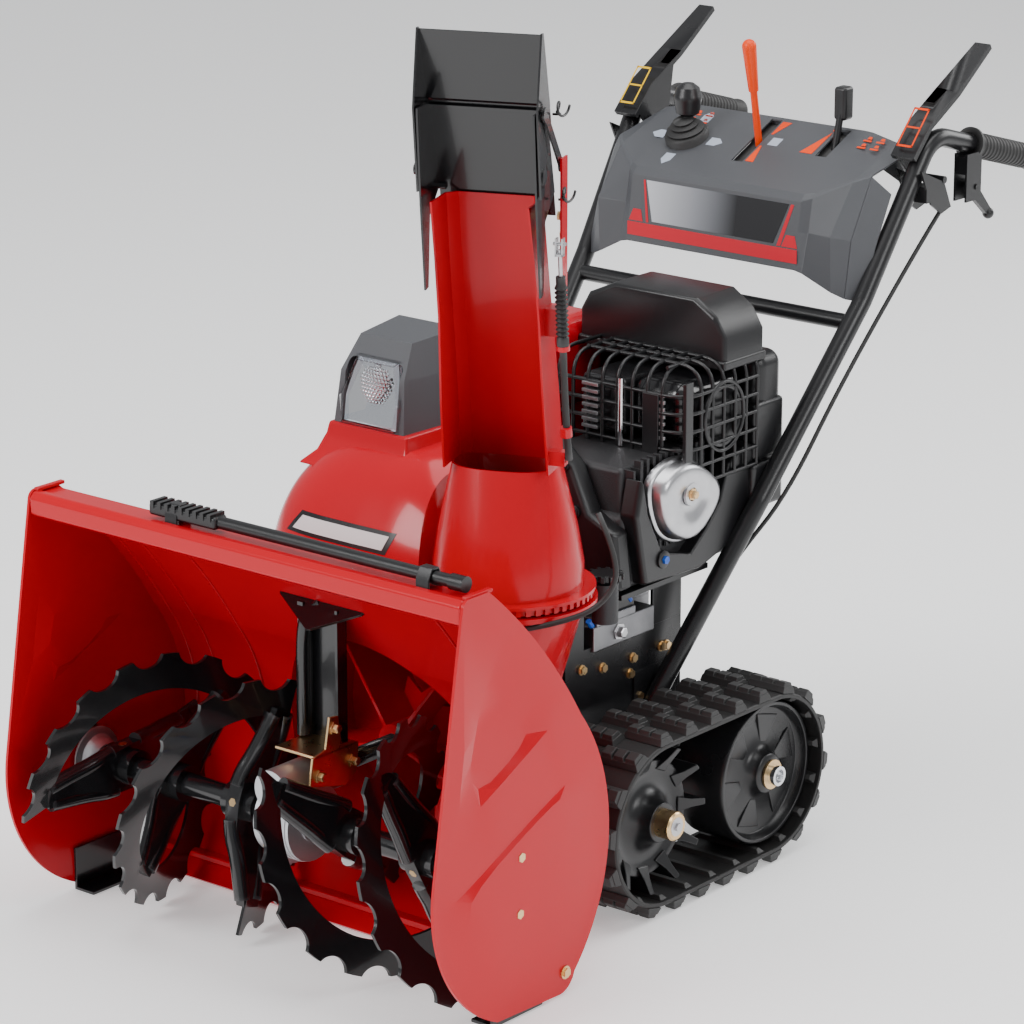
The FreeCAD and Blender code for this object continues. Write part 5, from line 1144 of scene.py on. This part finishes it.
def wheel_part(sign, centre_y, profile, sides=48):
    """A lathe about a wheel's axle. Distances run outwards from the middle of the machine."""
    return lathe(profile, (0, centre_y, WHEEL_Z), (sign, 0, 0), sides)


def star_pads(sign, centre_y, x, inner, outer, count, lift):
    """Embossed wedge-shaped pads around a wheel's disc."""
    pads = []
    for i in range(count):
        middle = 2 * math.pi * (i + 0.25) / count
        corners = []
        for radius, half in ((inner, 0.16), (outer, 0.30), (outer, -0.30), (inner, -0.16)):
            y, z = radius * math.cos(middle + half), radius * math.sin(middle + half)
            corners.append((sign * x, centre_y + y, WHEEL_Z + z))
        pads.append(prism(corners, (sign * lift, 0, 0)))
    return pads


def build_wheels():
    """Embossed idler discs and toothed drive discs, each with its coloured axle end."""
    rim = [(0.206, 0.013), (0.206, 0.0985), (0.279, 0.0985), (0.284, 0.096), (0.284, 0.091), (0.276, 0.090),
           (0.270, 0.086), (0.2675, 0.070), (0.270, 0.038), (0.276, 0.030), (0.288, 0.027), (0.291, 0.022),
           (0.291, 0.013)]
    drive = [(0.206, 0.013), (0.206, 0.070), (0.246, 0.074), (0.262, 0.080), (0.267, 0.077), (0.266, 0.068),
             (0.261, 0.062), (0.261, 0.044), (0.267, 0.036), (0.276, 0.029), (0.290, 0.026), (0.290, 0.013)]
    for side, sign in (("left", 1), ("right", -1)):
        idler_y, drive_y = 0.058, -0.175
        body = "idler_" + side
        disc = [wheel_part(sign, idler_y, rim, 64)] + star_pads(sign, idler_y, 0.2655, 0.040, 0.080, 6, 0.005)
        wheel = joined("idler_disc_" + side, disc, "satin_black", body=body, smooth=40, bevel=1.2 * MM)
        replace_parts(wheel, body)
        washer = wheel_part(sign, idler_y, [(0.292, 0.013), (0.292, 0.020), (0.295, 0.020), (0.295, 0.013)])
        joined("idler_washer_" + side, [washer], "yellow_zinc", body=body)
        ring = wheel_part(sign, idler_y, [(0.2935, 0.0), (0.2935, 0.0135), (0.306, 0.0135), (0.306, 0.009),
                                          (0.298, 0.009), (0.298, 0.0)])
        joined("idler_ring_" + side, [ring], "chrome", body=body, slot="steel", bevel=0.4 * MM)
        body = "sprocket_" + side
        disc = [wheel_part(sign, drive_y, drive, 66)]
        for i in range(11):
            angle = 2 * math.pi * i / 11
            u = Vector((0, math.cos(angle), math.sin(angle)))
            v = Vector((0, -math.sin(angle), math.cos(angle)))
            hub = Vector((0, drive_y, WHEEL_Z))
            root = [(0.214, -0.011), (0.266, -0.011), (0.266, 0.011), (0.214, 0.011)]
            neck = [(0.224, -0.006), (0.276, -0.006), (0.276, 0.006), (0.224, 0.006)]
            tip = [(0.232, -0.0045), (0.286, -0.0045), (0.286, 0.0045), (0.232, 0.0045)]
            disc.append(loft([[hub + Vector((sign * x, 0, 0)) + v * w + u * r for x, w in loop]
                              for loop, r in ((root, 0.064), (neck, 0.080), (tip, 0.097))]))
        wheel = joined("drive_disc_" + side, disc, "satin_black", body=body, smooth=40, bevel=1.5 * MM)
        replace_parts(wheel, body)
        axle = wheel_part(sign, drive_y, [(0.121, 0.0), (0.121, 0.0118), (0.289, 0.0118), (0.289, 0.0)], 24)
        joined("drive_axle_" + side, [axle], "steel", body=body)
        sleeve = wheel_part(sign, drive_y, [(0.287, 0.012), (0.287, 0.019), (0.311, 0.019), (0.313, 0.017),
                                            (0.313, 0.012)])
        joined("drive_sleeve_" + side, [sleeve], "yellow_zinc", body=body)
        cap = [wheel_part(sign, drive_y, [(0.302, 0.0), (0.302, 0.0125), (0.3135, 0.0125), (0.3135, 0.0)]),
               wheel_part(sign, drive_y, [(0.313, 0.0), (0.313, 0.006), (0.317, 0.0055), (0.317, 0.0)], 6)]
        joined("drive_cap_" + side, cap, "steel", body=body, bevel=0.3 * MM)


def track_place(distance, radius, x):
    """Point on the track's loop, by distance from the lower front, and its outward direction."""
    front, rear, pitch = -0.175, 0.058, 0.111
    run, half_turn = rear - front, math.pi * pitch
    distance %= 2 * (run + half_turn)
    if distance < run:
        return Vector((x, front + distance, WHEEL_Z - radius)), Vector((0, 0, -1))
    if distance < run + half_turn:
        angle = -math.pi / 2 + (distance - run) / pitch
        out = Vector((0, math.cos(angle), math.sin(angle)))
        return Vector((x, rear, WHEEL_Z)) + out * radius, out
    if distance < 2 * run + half_turn:
        return Vector((x, rear - (distance - run - half_turn), WHEEL_Z + radius)), Vector((0, 0, 1))
    angle = math.pi / 2 + (distance - 2 * run - half_turn) / pitch
    out = Vector((0, math.cos(angle), math.sin(angle)))
    return Vector((x, front, WHEEL_Z)) + out * radius, out


def track_block(at, sign, layers):
    """Block on the track, straight out from it. Layers are (radius, half length, x from, x to)."""
    centre, out = track_place(at, 0.111, 0)
    along = Vector((sign, 0, 0)).cross(out) * sign
    loops = []
    for radius, half, x0, x1 in layers:
        base = centre + out * (radius - 0.111)
        loops.append([base + along * a + Vector((sign * x, 0, 0))
                      for a, x in ((-half, x0), (half, x0), (half, x1), (-half, x1))])
    return loft(loops)


def build_tracks():
    """Rubber tracks: ribbed belt, notched lugs with sloping flanks in two rows, and inner drive ribs."""
    count = 22
    x0, x1 = 0.182, 0.300
    middle = (x0 + x1) / 2
    length = 2 * (0.233 + math.pi * 0.111)
    steps = 132
    for side, sign in (("left", 1), ("right", -1)):
        section = ((0.104, x0), (0.1065, x0), (0.1105, x0 + 0.002), (0.1105, x1 - 0.002), (0.1085, x1),
                   (0.104, x1), (0.104, x1 - 0.006), (0.105, x1 - 0.008), (0.105, x0 + 0.008),
                   (0.104, x0 + 0.006))
        points, faces = [], []
        rows = len(section)
        for i in range(steps):
            for radius, x in section:
                points.append(track_place(length * i / steps, radius, sign * x)[0])
        for i in range(steps):
            for j in range(rows):
                a, b = i * rows + j, i * rows + (j + 1) % rows
                c, d = (i + 1) % steps * rows + (j + 1) % rows, (i + 1) % steps * rows + j
                faces.append((a, b, c, d))
        parts = [(points, faces)]
        for i in range(count):
            at = length * i / count
            half = length / count / 2
            for start, low, high in ((at, x0, middle + 0.002), (at + half, middle - 0.002, x1)):
                parts.append(track_block(start, sign, ((0.110, 0.0135, low, high),
                                                       (0.119, 0.0100, low + 0.002, high - 0.002))))
                third = (high - low - 0.004) / 3
                for k in range(3):
                    a = low + 0.002 + third * k
                    parts.append(track_block(start, sign, ((0.1185, 0.0098, a + 0.001, a + third - 0.001),
                                                           (0.1244, 0.0068, a + 0.002, a + third - 0.002))))
            parts.append(track_block(at, sign, ((0.106, 0.0085, x0 + 0.004, x1 - 0.004),
                                                (0.0995, 0.0035, x0 + 0.012, x1 - 0.012))))
        piece = joined("track_" + side, parts, "rubber", smooth=35, bevel=0.9 * MM)
        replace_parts(piece, "tracks")


# ---------------------------------------------------------------- auger drive
AUGER_Y, AUGER_Z = -0.549, 0.173
AUGER_PITCH = 0.324
ARM_RUNS = ((0.084, -0.027), (0.213, -0.016), (0.300, 0.020))
AUGER_STARTS = ((1, 43.0), (-1, -69.0))
RIBBON_START = 0.052


# distance from the auger's axis, share of the arm's lean, half width of the arm
ARM_EDGE = ((0.022, 0.0, 0.026), (0.040, 0.1, 0.024), (0.062, 0.4, 0.019), (0.085, 0.7, 0.016),
            (0.120, 1.0, 0.011))


def auger_point(x, radius, degrees):
    """A point of the right-hand auger's frame, turned about the auger's axis."""
    angle = math.radians(degrees)
    return Vector((x, AUGER_Y - radius * math.cos(angle), AUGER_Z + radius * math.sin(angle)))


def build_arm_ribs():
    """Rolled edges of the pressed auger arms."""
    pieces = []
    for sign, start in AUGER_STARTS:
        for x, lean in ARM_RUNS:
            turn = start - (x + lean - RIBBON_START) / AUGER_PITCH * 360
            for flip in (0, 180):
                direction = auger_point(0, 1, turn + flip) - auger_point(0, 0, 0)
                across = Vector((1, 0, 0)).cross(direction)
                for edge in (-1, 1):
                    line = []
                    for distance, share, half in ARM_EDGE:
                        centre = auger_point(sign * (x + lean * share), distance, turn + flip)
                        line.append(centre + across * half * edge)
                    pieces.append(line)
    data = bpy.data.curves.new("auger_arm_edges", "CURVE")
    data.dimensions = "3D"
    data.bevel_depth = 1.0
    data.bevel_resolution = 4
    data.use_fill_caps = True
    for points in pieces:
        spline = data.splines.new("NURBS")
        spline.points.add(len(points) - 1)
        for target, point in zip(spline.points, points):
            target.co = (*point, 1)
            target.radius = 0.0105
        spline.order_u = 3
        spline.use_endpoint_u = True
    data.materials.append(MATERIALS["black_paint"])
    edges = bpy.data.objects.new("auger_arm_edges", data)
    bpy.context.scene.collection.objects.link(edges)
    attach(edges, "auger")


def build_gearbox_details():
    """Strut's rolled front edge, folded zinc plate at its foot and the marked bolts of the gearbox."""
    wire("strut_roll", [(-0.027, -0.505, 0.266), (-0.027, -0.505, 0.330), (-0.027, -0.505, 0.400),
                        (-0.022, -0.500, 0.428), (-0.004, -0.494, 0.440)], 0.0085, "chassis", "black_paint",
         resolution=8)
    plate = ((-566, 226), (-500, 210), (-478, 224), (-474, 262), (-506, 268), (-512, 306), (-528, 308),
             (-536, 268), (-560, 262))
    folded = [layered(plate, ((0.034, 1.0), (0.038, 1.0)), beside),
              brick(-0.030, 0.038, -0.556, -0.478, 0.2595, 0.2635)]
    piece = joined("gearbox_plate", folded, "yellow_zinc", bevel=1.2 * MM)
    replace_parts(piece, "gearbox_bracket")
    heads, marks = [], []
    for y, z in ((-0.520, 0.292), (-0.486, 0.240), (-0.548, 0.236)):
        heads.append(lathe([(0, 0.009), (0.002, 0.009), (0.002, 0.0062), (0.008, 0.006), (0.009, 0.0045)],
                           (0.038, y, z), (1, 0, 0), 6))
    joined("gearbox_plate_bolts", heads, "yellow_zinc", bevel=0.3 * MM)
    for i in range(6):
        at = auger_point(-0.0095, 0.054, 20 - 44 * i)
        marks.append(lathe([(0, 0.0035), (0.0012, 0.0030), (0.0012, 0.0)], at, (-1, 0, 0), 12))
    joined("gearbox_marks", marks, "blue_mark")
    ribs = [lathe([(-0.002, 0.040), (-0.002, 0.0515), (0.002, 0.0515), (0.002, 0.040)],
                  (x, AUGER_Y, AUGER_Z), (1, 0, 0), 48) for x in (-0.020, 0.012, 0.022)]
    joined("gearbox_ribs", ribs, "cast_aluminium", bevel=0.8 * MM)


# ---------------------------------------------------------------- frame, cover stripe and grips
def build_frame_plates():
    """Plates that close the frame below the engine, and the drive's cast block with its bolt and ties."""
    for side, sign, front in (("left", 1, -0.020), ("right", -1, -0.254)):
        x0, x1 = sorted((sign * 0.1485, sign * 0.1525))
        plates = [brick(x0, x1, front, 0.040, 0.322, 0.392)]
        joined("frame_cheek_" + side, plates, "satin_black", bevel=1.2 * MM)
    block = [brick(0.112, 0.157, -0.150, -0.022, 0.318, 0.352),
             brick(0.118, 0.156, -0.142, -0.060, 0.350, 0.362)]
    joined("drive_panel", [brick(0.098, 0.102, -0.160, 0.038, 0.300, 0.392)], "satin_black", bevel=1 * MM)
    joined("drive_block", block, "dull_zinc", bevel=2.5 * MM)
    bolt = [lathe([(0, 0.012), (0.002, 0.012), (0.002, 0.008), (0.009, 0.0075), (0.010, 0.006)],
                  (0.157, -0.098, 0.335), (1, 0, 0), 6)]
    joined("drive_block_bolt", bolt, "steel", bevel=0.4 * MM)
    ties = [lathe([(0, 0.004), (0.012, 0.004), (0.012, 0.0)], (x, y, z), (0, -0.6, 0.8), 8)
            for x, y, z in ((0.150, -0.146, 0.352), (0.150, -0.066, 0.368))]
    joined("drive_ties", ties, "blue_mark")


def draped(name, node, spans, columns, lift, material):
    """Thin sheet laid on the front of a CAD node. Spans are (z, x from, x to) rows in metres."""
    mesh = NODES[node].data
    tree = BVHTree.FromPolygons([v.co for v in mesh.vertices], [tuple(f.vertices) for f in mesh.polygons])
    points = []
    for z, x0, x1 in spans:
        for i in range(columns):
            x = x0 + (x1 - x0) * i / (columns - 1)
            hit = tree.ray_cast(Vector((x, -0.7, z)), Vector((0, 1, 0)))[0]
            points.append((x, hit.y - lift, z))
    rows, count = len(spans), len(points)
    back = [(x, y + lift + 0.0008, z) for x, y, z in points]
    faces = []
    for row in range(rows - 1):
        for i in range(columns - 1):
            a = row * columns + i
            faces.append((a, a + 1, a + columns + 1, a + columns))
            faces.append(tuple(k + count for k in (a, a + columns, a + columns + 1, a + 1)))
    rim = list(range(columns)) + [r * columns + columns - 1 for r in range(1, rows)]
    rim += [(rows - 1) * columns + i for i in range(columns - 2, -1, -1)]
    rim += [r * columns for r in range(rows - 2, 0, -1)]
    faces += [(a, b, b + count, a + count) for a, b in zip(rim[1:] + rim[:1], rim)]
    return joined(name, [(points + back, faces)], material, slot="black_plastic", smooth=50)


def build_cover_stripe():
    """Plain pale band with a dark border across the front of the belt cover."""
    rows = 5
    for name, margin, lift, material in (("stripe_border", 0.0, 0.0006, "satin_black"),
                                         ("stripe_band", 0.005, 0.0012, "mark_white")):
        low, high = 0.474 + margin, 0.502 - margin
        spans = []
        for i in range(rows):
            z = low + (high - low) * i / (rows - 1)
            slant = (z - 0.474) * 0.8
            spans.append((z, -0.176 + margin * 1.6 + slant, -0.002 - margin * 1.6 + slant * 0.5))
        draped(name, "belt_cover", spans, 40, lift, material)


def build_grip_rings():
    """Flanges and moulded ribs of the two rubber grips."""
    for side, sign in (("left", 1), ("right", -1)):
        start, end = Vector((sign * 0.2484, 0.553, 0.8862)), Vector((sign * 0.252, 0.690, 0.847))
        along = (end - start).normalized()
        length = (end - start).length + 0.014
        profile = [(0.0, 0.0165), (0.0, 0.023), (0.005, 0.023), (0.007, 0.0168)]
        count = 14
        for i in range(count):
            at = 0.020 + (length - 0.040) * i / count
            profile += [(at, 0.0164), (at + 0.0015, 0.0178), (at + 0.0045, 0.0178), (at + 0.006, 0.0164)]
        profile += [(length - 0.006, 0.0185), (length - 0.001, 0.0185), (length + 0.0005, 0.0160)]
        grip = lathe(profile + [(length + 0.0005, 0.0)], start, along, 32)
        joined("grip_ribs_" + side, [grip], "rubber", smooth=40)


build_camera()
build_lights()
build_floor()
finish_cad_nodes()
for side, sign in (("left", 1), ("right", -1)):
    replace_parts(build_side_plate(side, sign), "side_plates")
build_housing_trim()
build_tool_clips()
build_muffler_guard()
build_heat_shield()
build_head_cover()
build_engine_panels()
build_air_cleaner()
build_recoil_details()
build_headlight()
build_console()
build_console_marks()
build_lever_labels()
build_cords()
build_chute_hose()
build_chute_fittings()
build_wheels()
build_tracks()
build_arm_ribs()
build_gearbox_details()
build_frame_plates()
build_cover_stripe()
build_grip_rings()
